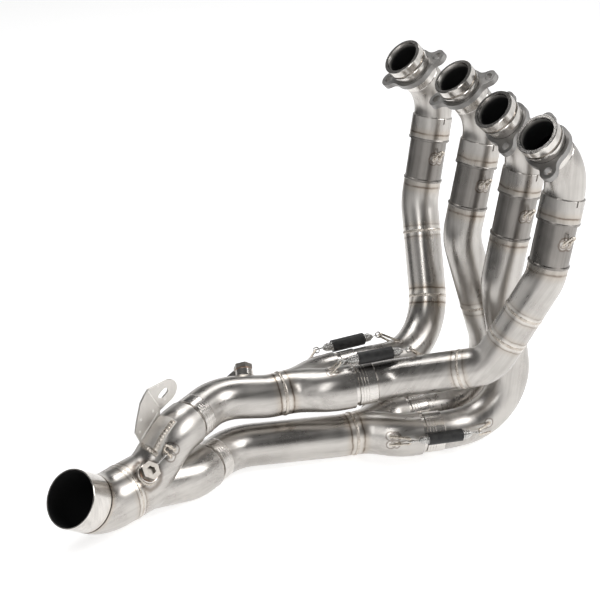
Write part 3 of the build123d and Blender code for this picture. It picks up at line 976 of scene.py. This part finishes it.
@dataclass
class Hooks:
    """The spring hooks: finds where their legs stand, and welds them there."""

    nodes: tuple[str, ...] = ("joint_spring_hooks", "section_spring_hooks", "collector_hook")
    touch: float = 0.9
    apart: float = 3.5
    radius: float = 1.5
    lean: float = 0.4
    feet: list[Foot] = field(default_factory=list)

    def find(self, carriers: Surface) -> None:
        """Find the feet from the hooks' points that are nearest to the metal.

        Args:
            carriers: the tubes that hooks stand on.
        """
        for name in self.nodes:
            close: list[tuple[Vector, Vector, Vector, str]] = []
            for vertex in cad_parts[name].data.vertices:
                spot, normal, face, gap = carriers.tree.find_nearest(vertex.co)
                if spot is not None and gap < self.touch * MM:
                    close.append((vertex.co.copy(), spot, normal, carriers.owner[face]))
            while close:
                seed = close[0][0]
                near = [row for row in close if (row[0] - seed).length < self.apart * MM]
                close = [row for row in close if (row[0] - seed).length >= self.apart * MM]
                middle = sum((row[1] for row in near), Vector()) / len(near)
                normal = sum((row[2] for row in near), Vector()).normalized()
                self.feet.append(Foot(middle, normal, near[0][3]))
        log.info("hook feet: %d", len(self.feet))

    def halos(self, node: str, radius: float = 4.6) -> tuple[tuple[Vector, float], ...]:
        """Give the tinted spots that the feet leave on one tube.

        Args:
            node: the tube.
            radius: the spots' radius in millimetres.

        Returns:
            The places with their radius.
        """
        return tuple((foot.point, radius) for foot in self.feet if foot.carrier == node)

    def weld(self, material: bpy.types.Material) -> None:
        """Lay a small bead round each foot.

        Args:
            material: the beads' material.
        """
        meshes = []
        for index, foot in enumerate(self.feet):
            ring = HOOK_BEAD.ring(foot.point, foot.normal, self.radius)
            stations = [Station(row.point, (foot.normal + row.normal * self.lean).normalized()) for row in ring]
            meshes.append(HOOK_BEAD.mesh(f"foot_{index}", stations, True))
        if meshes:
            piece("hook_foot_welds", joined("hook_foot_welds", meshes), material)

    def build(self, carriers: Surface, weld: bpy.types.Material) -> None:
        """Find the feet, weld them and dress the hooks.

        Args:
            carriers: the tubes that hooks stand on.
            weld: the beads' material.
        """
        self.find(carriers)
        self.weld(weld)
        dress(list(self.nodes), HOOK.material())


# ---------------------------------------------------------------- runners


@dataclass
class Runner:
    """One cylinder's head, slip joint, spring section and primary pipe."""

    cylinder: int
    mouth: Triple
    inward: Triple
    corner: Triple
    down: Triple
    lay: Triple
    welds: tuple[Seam, ...] = ()
    first_ring: float = 49.5
    second_ring: float = 93.5
    line_gap: float = 7.0
    # Each bore's radius, the depth that its painted shade fades in over, and where it ends.
    spigot_shade: Triple = (18.3, 7.0, 60.0)
    head_shade: Triple = (18.9, 20.0, 52.0)
    section_halo: float = 5.2
    weld_radius: float = 20.0

    def drop(self, distance: float) -> Triple:
        """Give the point this far below the elbow's corner.

        Args:
            distance: the distance in millimetres.

        Returns:
            The point of the layout.
        """
        return tuple(Vector(self.corner) + Vector(self.down) * distance)

    def lines(self) -> tuple[Seam, ...]:
        """Give the brown line above the upper ring and the one below the lower ring."""
        above, below = self.first_ring - self.line_gap, self.second_ring + self.line_gap
        return (
            Seam(self.drop(above), self.down, offset=0.0, width=1.7, strength=0.95),
            Seam(self.drop(below), self.down, offset=0.0, width=2.0, strength=0.9),
        )

    def build(self, hooks: Hooks, flange: bpy.types.Material, weld: bpy.types.Material) -> None:
        """Dress the runner's nodes and lay its welds.

        Args:
            hooks: the hooks, with their feet found.
            flange: the stud flange's material.
            weld: the beads' material.
        """
        number = self.cylinder
        # The spigot's bore and the head's bore get painted shade inside.
        bore = Bore(self.mouth, self.inward, *self.spigot_shade)
        spigot = MACHINED.material(f"_spigot_{number}", Marks(bores=(bore,)))
        dress([f"port_spigot_{number}"], spigot)
        dress([f"stud_flange_{number}"], flange)
        deep = Bore(self.mouth, self.inward, *self.head_shade)
        head = TUBE.material(f"_head_{number}", Marks(seams=self.lines(), bores=(deep,)))
        dress([f"head_elbow_{number}", f"slip_sleeve_{number}"], head)
        section = f"spring_section_{number}"
        halos = hooks.halos(section, self.section_halo)
        # The sections' darker finish holds painted dark reflection as well as their own tone.
        dress([section], SECTION_TONE_AND_SHADE.laid(self.down).material(f"_{number}", Marks(halos=halos)))
        pipe = f"primary_pipe_{number}"
        marks = Marks(seams=self.lines()[1:] + self.welds, halos=hooks.halos(pipe))
        dress([pipe], TUBE.laid(self.lay).material(f"_pipe_{number}", marks))
        for letter, seam in zip("abc", self.welds):
            stations = TUBE_BEAD.ring(place(seam.point), Vector(seam.axis).normalized(), self.weld_radius)
            name = f"pipe_weld_{number}_{letter}"
            piece(name, TUBE_BEAD.mesh(name, stations, True), weld)


RUNNERS = (
    Runner(
        1, (1.3, 140.0, 372.5), (0.6927, 0.0521, -0.7193), (46.33, 143.39, 325.74), (-0.1933, -0.0958, -0.9764),
        lay=(0.1, 0.4, 0.9),
        welds=(
            Seam((19.6, 117.4, 180.0), (-0.111, -0.440, -0.891), offset=6.0, width=1.2, strength=0.55),
            Seam((11.4, 86.1, 116.9), (-0.206, -0.460, -0.864), offset=8.0, width=1.6, strength=1.0),
        ),
    ),
    Runner(
        2, (9.3, 48.1, 376.5), (0.6479, 0.0158, -0.7615), (51.42, 49.13, 327.0), (-0.2178, -0.0593, -0.9742),
        lay=(0.1, 0.2, 0.97),
        welds=(Seam((42.4, 31.1, 128.0), (0.25, -0.14, -0.957), offset=6.5, strength=0.5),),
    ),
    Runner(
        3, (9.0, -30.4, 366.4), (0.714, 0.0487, -0.6984), (55.41, -27.24, 321.0), (-0.1856, -0.0227, -0.9824),
        lay=(0.1, 0.0, 0.99),
        welds=(Seam((37.5, -32.2, 123.8), (0.172, -0.03, -0.984), offset=6.5, strength=0.5),),
    ),
    Runner(
        4, (6.4, -112.5, 368.1), (0.6931, 0.1197, -0.7108), (51.45, -104.72, 321.9), (-0.1925, -0.0244, -0.981),
        lay=(0.45, -0.25, 0.85),
        welds=(
            Seam((15.3, -97.1, 177.5), (-0.365, 0.251, -0.896), offset=5.0, strength=0.5),
            Seam((3.5, -88.9, 148.3), (-0.365, 0.251, -0.896), offset=5.5, strength=0.6),
            Seam((-30.9, -61.7, 107.1), (-0.727, 0.625, -0.283), offset=6.0, strength=0.7),
        ),
    ),
)


# ---------------------------------------------------------------- merges and secondaries


@dataclass
class Level:
    """The upper or the lower half of the header from its slip joints to its secondary pipe."""

    name: str
    seam: Triple
    axis: Triple
    lay: Triple
    cylinders: tuple[int, int]
    merge_radius: float = 22.5

    def build(self, hooks: Hooks, weld: bpy.types.Material) -> None:
        """Dress the level's nodes and lay the weld between the merge and the secondary pipe.

        Args:
            hooks: the hooks, with their feet found.
            weld: the bead's material.
        """
        seam = Seam(self.seam, self.axis, reach=34.0, offset=6.5, width=1.7)
        finish = TUBE.laid(self.lay)
        for tube in ("merge_left", "merge_right", "secondary"):
            node = f"{self.name}_{tube}"
            dress([node], finish.material(f"_{node}", Marks(seams=(seam,), halos=hooks.halos(node))))
        collars = [f"lower_collar_{number}" for number in self.cylinders] + [f"{self.name}_secondary_collar"]
        dress(collars, MACHINED.laid(self.lay).material(f"_{self.name}_collars"))
        stations = MERGE_BEAD.ring(place(self.seam), Vector(self.axis).normalized(), self.merge_radius)
        name = f"{self.name}_merge_weld"
        piece(name, MERGE_BEAD.mesh(name, stations, True), weld)


LEVELS = (
    Level("upper", (-193.5, 21.8, 75.7), (-0.994, 0.0956, -0.0538), (0.99, -0.1, 0.05), (1, 4)),
    Level("lower", (-123.0, 1.0, 22.5), (-0.9945, 0.1045, 0.0), (0.98, -0.15, 0.0), (2, 3)),
)


# ---------------------------------------------------------------- collector


@dataclass
class Collector:
    """The lower joint, its cone and outlet, the bosses with their plugs, and the hanger bracket."""

    seam: Triple = (-382.93, -30.03, 36.66)
    cone_axis: Triple = (-0.9355, -0.3488, -0.0555)
    outlet_mouth: Triple = (-444.63, -56.04, 60.55)
    outlet_axis: Triple = (-0.7472, -0.3453, 0.5678)
    outlet_bore: float = 27.6
    bend_clearance: float = 0.3
    outlet_corner: Triple = (-411.0, -40.5, 35.0)
    outlet_turn: float = 46.0
    sleeve_length: float = 27.0
    rear_boss_top: Triple = (-222.08, 51.07, 93.28)
    rear_outward: Triple = (0.2348, 0.7861, 0.5718)
    front_boss_top: Triple = (-362.05, -43.81, 60.77)
    front_outward: Triple = (0.19, -0.6293, 0.7535)
    wrap_reach: float = 60.0
    boss_radius: float = 10.0
    boss_gap: float = 0.2
    boss_reach: float = 40.0
    boss_lean: float = 0.8
    boss_halo: float = 14.0
    boss_depth: float = 7.0
    hook_halo: float = 5.0
    lay: Triple = (0.93, 0.35, 0.05)
    clouds: float = 40.0
    wire_radius: float = 0.45
    wire_near: float = 34.0
    wire_rise: float = 4.2
    wire_out: float = 8.4
    wire_foot: float = 2.2
    wire_sag: float = 1.6
    wire_turns: int = 5
    wire_steps: int = 90
    strand_gap: float = 1.05
    dimple_pixels: tuple[Pixel, ...] = ((158, 386), (165, 399), (153, 411), (141, 420), (140, 432))
    fold_pixels: tuple[Pixel, ...] = ((148, 391), (152, 397), (156, 402.5), (159, 407))
    bend_pixels: tuple[Pixel, ...] = ((158, 412), (154, 419), (149, 427), (144, 435), (141, 440))
    chain_pixels: tuple[Pixel, ...] = ((174, 420), (167, 429), (161, 438), (157, 446), (153, 454))
    foot_pixels: tuple[Pixel, ...] = ((140, 444), (147, 448), (153, 452), (158, 456))

    def saddle(self, top: Triple, outward: Triple, metal: Surface, count: int = 220) -> list[Station]:
        """Give the line round a boss where it meets the metal below.

        Args:
            top: the boss's top.
            outward: its axis.
            metal: what it stands on.
            count: the number of stations.

        Returns:
            The stations.
        """
        axis = Vector(outward).normalized()
        made = []
        for out in around(axis, count):
            start = place(top) + out * (self.boss_radius + self.boss_gap) * MM + axis * 2 * MM
            spot, normal, _, _ = metal.tree.ray_cast(start, -axis, self.boss_reach * MM)
            if spot is not None:
                made.append(Station(spot, (normal + out * self.boss_lean).normalized()))
        return made

    def boss_weld(self, name: str, top: Triple, outward: Triple, metal: Surface, weld: bpy.types.Material) -> None:
        """Lay a heavy bead round a boss's foot.

        Args:
            name: the piece's name.
            top: the boss's top.
            outward: its axis.
            metal: what it stands on.
            weld: the bead's material.
        """
        piece(name, BOSS_BEAD.mesh(name, self.saddle(top, outward, metal), True), weld)

    def lock_wire(self, hooks: Hooks) -> None:
        """Twist a thin wire from the front plug's head to the hook's foot.

        Args:
            hooks: the hooks, with their feet found.
        """
        axis = Vector(self.front_outward).normalized()
        top = place(self.front_boss_top)
        ends = [foot for foot in hooks.feet if (foot.point - top).length < self.wire_near * MM]
        if not ends:
            return
        foot = min(ends, key=lambda row: (row.point - top).length)
        end = foot.point + foot.normal * self.wire_foot * MM
        start = top + axis * self.wire_rise * MM
        away = end - start
        start += (away - axis * away.dot(axis)).normalized() * self.wire_out * MM
        run = end - start
        side = run.cross(axis).normalized()
        meshes = []
        for strand in (0.0, math.pi):
            points = []
            for index in range(self.wire_steps + 1):
                share = index / self.wire_steps
                angle = 2 * math.pi * self.wire_turns * share + strand
                sag = axis * math.sin(math.pi * share) * self.wire_sag * MM
                out = side * math.cos(angle) + axis * math.sin(angle)
                twist = out * self.wire_radius * self.strand_gap * MM
                points.append(start + run * share + sag + twist)
            meshes.append(wire_mesh("strand", points, self.wire_radius, sides=2))
        piece("lock_wire", joined("lock_wire", meshes), SPRING.material("_lock_wire"))

    def build(self, hooks: Hooks, weld: bpy.types.Material) -> None:
        """Dress the collector's nodes and lay its welds.

        Args:
            hooks: the hooks, with their feet found.
            weld: the beads' material.
        """
        seam = Seam(self.seam, self.cone_axis, reach=36.0, offset=4.5, width=1.4, strength=0.6)
        groove = tuple(Vector(self.outlet_mouth) - Vector(self.outlet_axis) * self.sleeve_length)
        sleeve_seam = Seam(groove, self.outlet_axis, reach=34.0, offset=0.0, width=1.3)
        boss = Vector(self.front_boss_top) - Vector(self.front_outward) * self.boss_depth
        boss_halo = ((place(tuple(boss)), self.boss_halo),)
        # Painted shade inside the outlet's bore and its bend.
        bore = Bore(self.outlet_mouth, tuple(-Vector(self.outlet_axis)), self.outlet_bore, 1.2, 30.0)
        finish = TUBE.laid(self.lay, self.clouds)
        for node in ("collector_upper_leg", "collector_lower_leg"):
            halos = boss_halo + hooks.halos(node, self.hook_halo)
            dress([node], finish.material(f"_{node}", Marks(seams=(seam,), halos=halos)))
        wide = self.outlet_bore + self.bend_clearance
        bend = BendBore(self.outlet_corner, self.cone_axis, self.outlet_axis, self.outlet_turn, wide)
        marks = Marks((seam, sleeve_seam), boss_halo, (bore,), (bend,))
        dress(["outlet_bend"], finish.material("_outlet_bend", marks))
        dress(["outlet_sleeve"], MACHINED.material("_outlet", Marks(seams=(sleeve_seam,), bores=(bore,))))
        dress(["front_sensor_boss", "rear_sensor_boss", "rear_boss_gusset"], MACHINED.material("_boss"))
        dress(["front_sensor_plug", "rear_sensor_plug"], PLUG.material())
        dress(["front_plug_washer", "rear_plug_washer"], COPPER.material())
        dress(["hanger_bracket"], SHEET.material())
        legs = Surface(["collector_upper_leg", "collector_lower_leg", "outlet_bend"])
        self.boss_weld("front_boss_weld", self.front_boss_top, self.front_outward, legs, weld)
        self.boss_weld("rear_boss_weld", self.rear_boss_top, self.rear_outward, Surface(["upper_secondary"]), weld)
        stations = self.wrap(place(self.seam), Vector(self.cone_axis).normalized(), legs)
        piece("collector_weld", COLLECTOR_BEAD.mesh("collector_weld", stations, True), weld)
        self.bracket_marks(legs, weld)
        self.lock_wire(hooks)

    def traced(self, pixels: tuple[Pixel, ...], metal: Surface, step: float = 0.00035) -> list[Station]:
        """Lay a line that the photograph shows onto the metal below it.

        Args:
            pixels: the line's points in the photograph.
            metal: what the line lies on.
            step: the distance between stations, in metres.

        Returns:
            The stations.
        """
        camera = PhotoCamera()
        hits = []
        for pixel in pixels:
            spot, normal, _, _ = metal.tree.ray_cast(Vector(camera.at), camera.ray(pixel))
            if spot is not None:
                hits.append(Station(spot, normal))
        made = []
        for first, second in zip(hits, hits[1:]):
            count = max(2, round((second.point - first.point).length / step))
            for index in range(count):
                share = index / count
                guess = first.point.lerp(second.point, share)
                spot, normal, _, _ = metal.tree.find_nearest(guess)
                made.append(Station(spot, normal))
        return made

    def bracket_marks(self, legs: Surface, weld: bpy.types.Material) -> None:
        """Lay the bracket's fold lines and its dimples, pale with painted highlight, and the welds at its foot.

        Args:
            legs: the collector's legs and cone.
            weld: the beads' material.
        """
        sheet = Surface(["hanger_bracket"])
        # The fold lines and dimples take the pale finish that paints the highlight on the bent sheet.
        finish = FOLD_HIGHLIGHT.material()
        for name, pixels in (("bracket_fold", self.fold_pixels), ("bracket_bend", self.bend_pixels)):
            piece(name, FOLD_BEAD.mesh(name, self.traced(pixels, sheet), False), finish)
        camera = PhotoCamera()
        meshes = []
        for pixel in self.dimple_pixels:
            spot, normal, _, _ = sheet.tree.ray_cast(Vector(camera.at), camera.ray(pixel))
            if spot is not None:
                ring = [Station(row.point, normal) for row in DIMPLE_BEAD.ring(spot, normal, 1.0)]
                meshes.append(DIMPLE_BEAD.mesh("dimple", ring, True))
        if meshes:
            piece("bracket_dimples", joined("bracket_dimples", meshes), finish)
        metal = Surface(legs.nodes + sheet.nodes)
        for name, pixels in (("leg_weld_chain", self.chain_pixels), ("bracket_foot_weld", self.foot_pixels)):
            stations = self.traced(pixels, metal)
            piece(name, CHAIN_BEAD.mesh(name, stations, False), weld)

    def wrap(self, point: Vector, axis: Vector, metal: Surface, count: int = 420) -> list[Station]:
        """Give the line round some metal in a plane, seen from outside.

        Args:
            point: a point inside the metal, in the plane.
            axis: the plane's normal.
            metal: the metal.
            count: the number of stations.

        Returns:
            The stations.
        """
        made = []
        reach = self.wrap_reach * MM
        for out in around(axis, count):
            spot, _, _, _ = metal.tree.ray_cast(point + out * reach, -out, reach)
            if spot is not None:
                made.append(Station(spot, out))
        return made


# ---------------------------------------------------------------- springs


@dataclass
class JointSpring:
    """One slip joint's spring: a close coil with a hooked eye at each end, inside its rubber."""

    number: int
    middle: Triple
    along: Triple
    outward: Triple
    length: float = 58.0
    outside: float = 9.4
    wire: float = 1.5
    cone: float = 6.0
    tail: float = 4.0
    eye: float = 3.2
    pitch: float = 1.62
    steps: int = 20
    tip_share: float = 0.6
    eye_open: float = 150.0
    eye_sweep: float = 330.0
    eye_steps: int = 28

    def line(self) -> list[Vector]:
        """Give the wire's line, from the tip of one eye to the tip of the other.

        Returns:
            The points in the frame.
        """
        along = Vector(self.along).normalized()
        outward = Vector(self.outward).normalized()
        side = along.cross(outward)
        middle = place(self.middle)
        radius = (self.outside - self.wire) / 2
        half = self.length / 2
        turns = self.length / self.pitch
        count = int(turns * self.steps)

        def eye(end: float) -> list[Vector]:
            """Give the loop at one end, from its open tip to the coil."""
            centre = middle + along * end * (half + self.tail + self.eye) * MM
            loop = []
            for index in range(self.eye_steps + 1):
                angle = math.radians(self.eye_open - index * self.eye_sweep / self.eye_steps)
                out = -along * end * math.cos(angle) + outward * math.sin(angle)
                loop.append(centre + out * self.eye * MM)
            return loop

        coil = []
        for index in range(count + 1):
            share = index / count
            place_along = -half + self.length * share
            end = min(1.0, (half - abs(place_along)) / self.cone)
            tip = self.wire * self.tip_share
            reach = tip + (radius - tip) * math.sin(end * math.pi / 2)
            angle = 2 * math.pi * turns * share
            out = outward * math.cos(angle) + side * math.sin(angle)
            coil.append(middle + (along * place_along + out * reach) * MM)
        left = eye(-1.0)
        right = list(reversed(eye(1.0)))
        return left + coil + right

    def build(self, steel: bpy.types.Material, rubber: bpy.types.Material) -> None:
        """Build the spring in the place of its plain solid, and dress its rubber.

        Args:
            steel: the wire's material.
            rubber: the rubber's material.
        """
        name = f"spring_coil_{self.number}"
        mesh = wire_mesh(name, self.line(), self.wire / 2, sides=2)
        made = piece(name, mesh, steel)
        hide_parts(f"joint_spring_{self.number}")
        dress([f"spring_rubber_{self.number}"], rubber)


SPRINGS = (
    JointSpring(1, (-98.63, 59.73, 96.31), (0.999, -0.0181, 0.0417), (-0.0129, 0.7664, 0.6422)),
    JointSpring(2, (-40.28, 44.59, 31.27), (0.9997, -0.0262, 0.0), (0.025, 0.956, 0.2924)),
    JointSpring(3, (-46.24, -59.75, 31.27), (0.9833, -0.1822, 0.0), (-0.1743, -0.9403, 0.2924)),
    JointSpring(4, (-103.2, -10.97, 114.47), (0.9828, -0.1724, 0.0655), (-0.0645, 0.0113, 0.9979)),
)


# ---------------------------------------------------------------- studio and camera


@dataclass(frozen=True)
class Lamp:
    """A soft box."""

    name: str
    at: Triple
    aim: Triple
    width: float
    height: float
    power: float

    def build(self) -> None:
        """Add the lamp."""
        data = bpy.data.lights.new(self.name, "AREA")
        data.shape = "RECTANGLE"
        data.size = self.width
        data.size_y = self.height
        data.energy = self.power
        lamp = bpy.data.objects.new(self.name, data)
        lamp.location = self.at
        lamp.rotation_euler = (Vector(self.aim) - Vector(self.at)).to_track_quat("-Z", "Y").to_euler()
        bpy.context.scene.collection.objects.link(lamp)
        log.info("%s", self.name)


LAMPS = (
    Lamp("key_box", (1.5, -0.9, 1.5), (0.25, 0.12, 0.2), 1.1, 1.1, 22.0),
    Lamp("strip_box", (-0.9, -1.0, 1.3), (0.25, 0.1, 0.15), 0.25, 1.4, 6.0),
    Lamp("top_box", (0.2, 0.9, 1.9), (0.25, 0.1, 0.1), 1.6, 0.7, 16.0),
)


@dataclass
class Studio:
    """The white floor, the room round it and the soft boxes."""

    floor_half: float = 40.0
    white: float = 0.82
    ambient: float = 0.42
    ceiling: float = 0.10
    lift: float = 0.66
    leftward: Triple = (-0.905, 0.426, 0.0)
    paper_edge: float = 0.24
    paper_fade: float = 0.22
    beyond: float = 0.07
    floor_gap: float = 0.0004
    floor_roughness: float = 0.9
    floor_specular: float = 0.1
    wall_top: tuple[float, float] = (0.12, 0.34)

    def seen(self, graph: Graph) -> Socket:
        """Give 1 for the rays that show the background: camera, glossy and transmission rays."""
        path = graph.add("ShaderNodeLightPath")
        rays = graph.math("MAXIMUM", path.outputs["Is Camera Ray"], path.outputs["Is Glossy Ray"])
        return graph.math("MAXIMUM", rays, path.outputs["Is Transmission Ray"])

    def paper(self, graph: Graph) -> Socket:
        """Give how white the floor shows: wholly to the eye, and less past the paper's left edge in mirroring metal.

        Args:
            graph: the floor's graph.

        Returns:
            The share of white.
        """
        position = graph.add("ShaderNodeTexCoord").outputs["Object"]
        left = graph.vector("DOT_PRODUCT", position, Vector(self.leftward))
        edge = graph.fade(left, self.paper_edge, self.paper_edge + self.paper_fade, 1.0, self.beyond)
        path = graph.add("ShaderNodeLightPath")
        mirrored = graph.math("SUBTRACT", 1.0, path.outputs["Is Glossy Ray"])
        return graph.math("MAXIMUM", mirrored, edge)

    def floor(self) -> None:
        """Lay the floor, white to the eye, with the object's shadow on it."""
        half = self.floor_half
        mesh = bpy.data.meshes.new("studio_floor")
        corners = [(-half, -half, 0.0), (half, -half, 0.0), (half, half, 0.0), (-half, half, 0.0)]
        mesh.from_pydata(corners, [], [(0, 1, 2, 3)])
        made = bpy.data.objects.new("studio_floor", mesh)
        made.location.z = -self.floor_gap
        bpy.context.scene.collection.objects.link(made)
        material = bpy.data.materials.new("studio_floor")
        material.use_nodes = True
        graph = Graph(material.node_tree)
        shader = material.node_tree.nodes["Principled BSDF"]
        shader.inputs["Roughness"].default_value = self.floor_roughness
        shader.inputs["Specular IOR Level"].default_value = self.floor_specular
        shown = self.paper(graph)
        graph.plug(shader.inputs["Base Color"], graph.mix(shown, (0.0, 0.0, 0.0), (self.white,) * 3))
        graph.plug(shader.inputs["Emission Color"], graph.mix(shown, (0.0, 0.0, 0.0), (1.0, 1.0, 1.0)))
        graph.plug(shader.inputs["Emission Strength"], graph.math("MULTIPLY", self.seen(graph), self.lift))
        mesh.materials.append(material)

    def room(self) -> None:
        """Light the room: white at eye level, and darker above for what metal mirrors."""
        world = bpy.data.worlds.new("studio_room")
        bpy.context.scene.world = world
        world.use_nodes = True
        graph = Graph(world.node_tree)
        back = world.node_tree.nodes["Background"]
        direction = graph.add("ShaderNodeTexCoord").outputs["Generated"]
        split = graph.add("ShaderNodeSeparateXYZ")
        graph.plug(split.inputs[0], direction)
        wall = graph.fade(split.outputs["Z"], *self.wall_top, 1.0, self.ceiling)
        path = graph.add("ShaderNodeLightPath")
        shown = graph.math("MAXIMUM", path.outputs["Is Camera Ray"], wall)
        level = graph.mix(self.seen(graph), (self.ambient,) * 3, (1.0, 1.0, 1.0))
        graph.plug(back.inputs["Color"], level)
        graph.plug(back.inputs["Strength"], shown)

    def build(self) -> None:
        """Build the studio."""
        self.floor()
        self.room()
        for lamp in LAMPS:
            lamp.build()


@dataclass(frozen=True)
class PhotoCamera:
    """The camera at the photograph's place, with its focal length in the picture's own pixels."""

    at: Triple = (-0.634877, -1.383292, 0.9021)
    azimuth: float = 25.22
    elevation: float = 25.23
    focal: float = 1705.8
    picture: float = 600.0
    sensor: float = 36.0
    clip: tuple[float, float] = (0.05, 200.0)
    shift: tuple[float, float] = (0.005, -0.0005)

    def forward(self) -> Vector:
        """Give the direction in which the camera looks."""
        turn, tilt = math.radians(self.azimuth), math.radians(self.elevation)
        return Vector((math.sin(turn) * math.cos(tilt), math.cos(turn) * math.cos(tilt), -math.sin(tilt)))

    def ray(self, pixel: Pixel) -> Vector:
        """Give the direction of the ray through a pixel of the photograph.

        Args:
            pixel: the pixel, from the left and from the top.

        Returns:
            The ray's direction.
        """
        ahead = self.forward()
        right = ahead.cross(Vector((0.0, 0.0, 1.0))).normalized()
        up = right.cross(ahead)
        middle = self.picture / 2
        across = pixel[0] - middle + self.shift[0] * self.picture
        rise = middle - pixel[1] + self.shift[1] * self.picture
        return (ahead * self.focal + right * across + up * rise).normalized()

    def build(self) -> None:
        """Add the camera and make it the scene's own."""
        data = bpy.data.cameras.new("photo_camera")
        data.sensor_width = self.sensor
        data.lens = self.focal / self.picture * self.sensor
        data.shift_x, data.shift_y = self.shift
        data.clip_start, data.clip_end = self.clip
        camera = bpy.data.objects.new("photo_camera", data)
        camera.location = self.at
        camera.rotation_euler = self.forward().to_track_quat("-Z", "Y").to_euler()
        bpy.context.scene.collection.objects.link(camera)
        bpy.context.scene.camera = camera


CARRIERS = (
    "spring_section_1", "spring_section_2", "spring_section_3", "spring_section_4",
    "primary_pipe_1", "primary_pipe_2", "primary_pipe_3", "primary_pipe_4",
    "upper_merge_left", "upper_merge_right", "lower_merge_left", "lower_merge_right",
    "collector_upper_leg", "collector_lower_leg",
)


def main() -> None:
    """Build the picture, piece by piece."""
    logging.basicConfig(level=logging.INFO, format="%(message)s")
    bpy.context.scene.view_settings.view_transform = "Standard"
    weld = WELD.material()
    flange = FLANGE.material()
    hooks = Hooks()
    hooks.build(Surface(list(CARRIERS)), weld)
    for runner in RUNNERS:
        runner.build(hooks, flange, weld)
    for level in LEVELS:
        level.build(hooks, weld)
    Collector().build(hooks, weld)
    steel = SPRING.material()
    rubber = RubberFinish().material()
    for spring in SPRINGS:
        spring.build(steel, rubber)
    Studio().build()
    PhotoCamera().build()


if __name__ == "__main__":
    main()
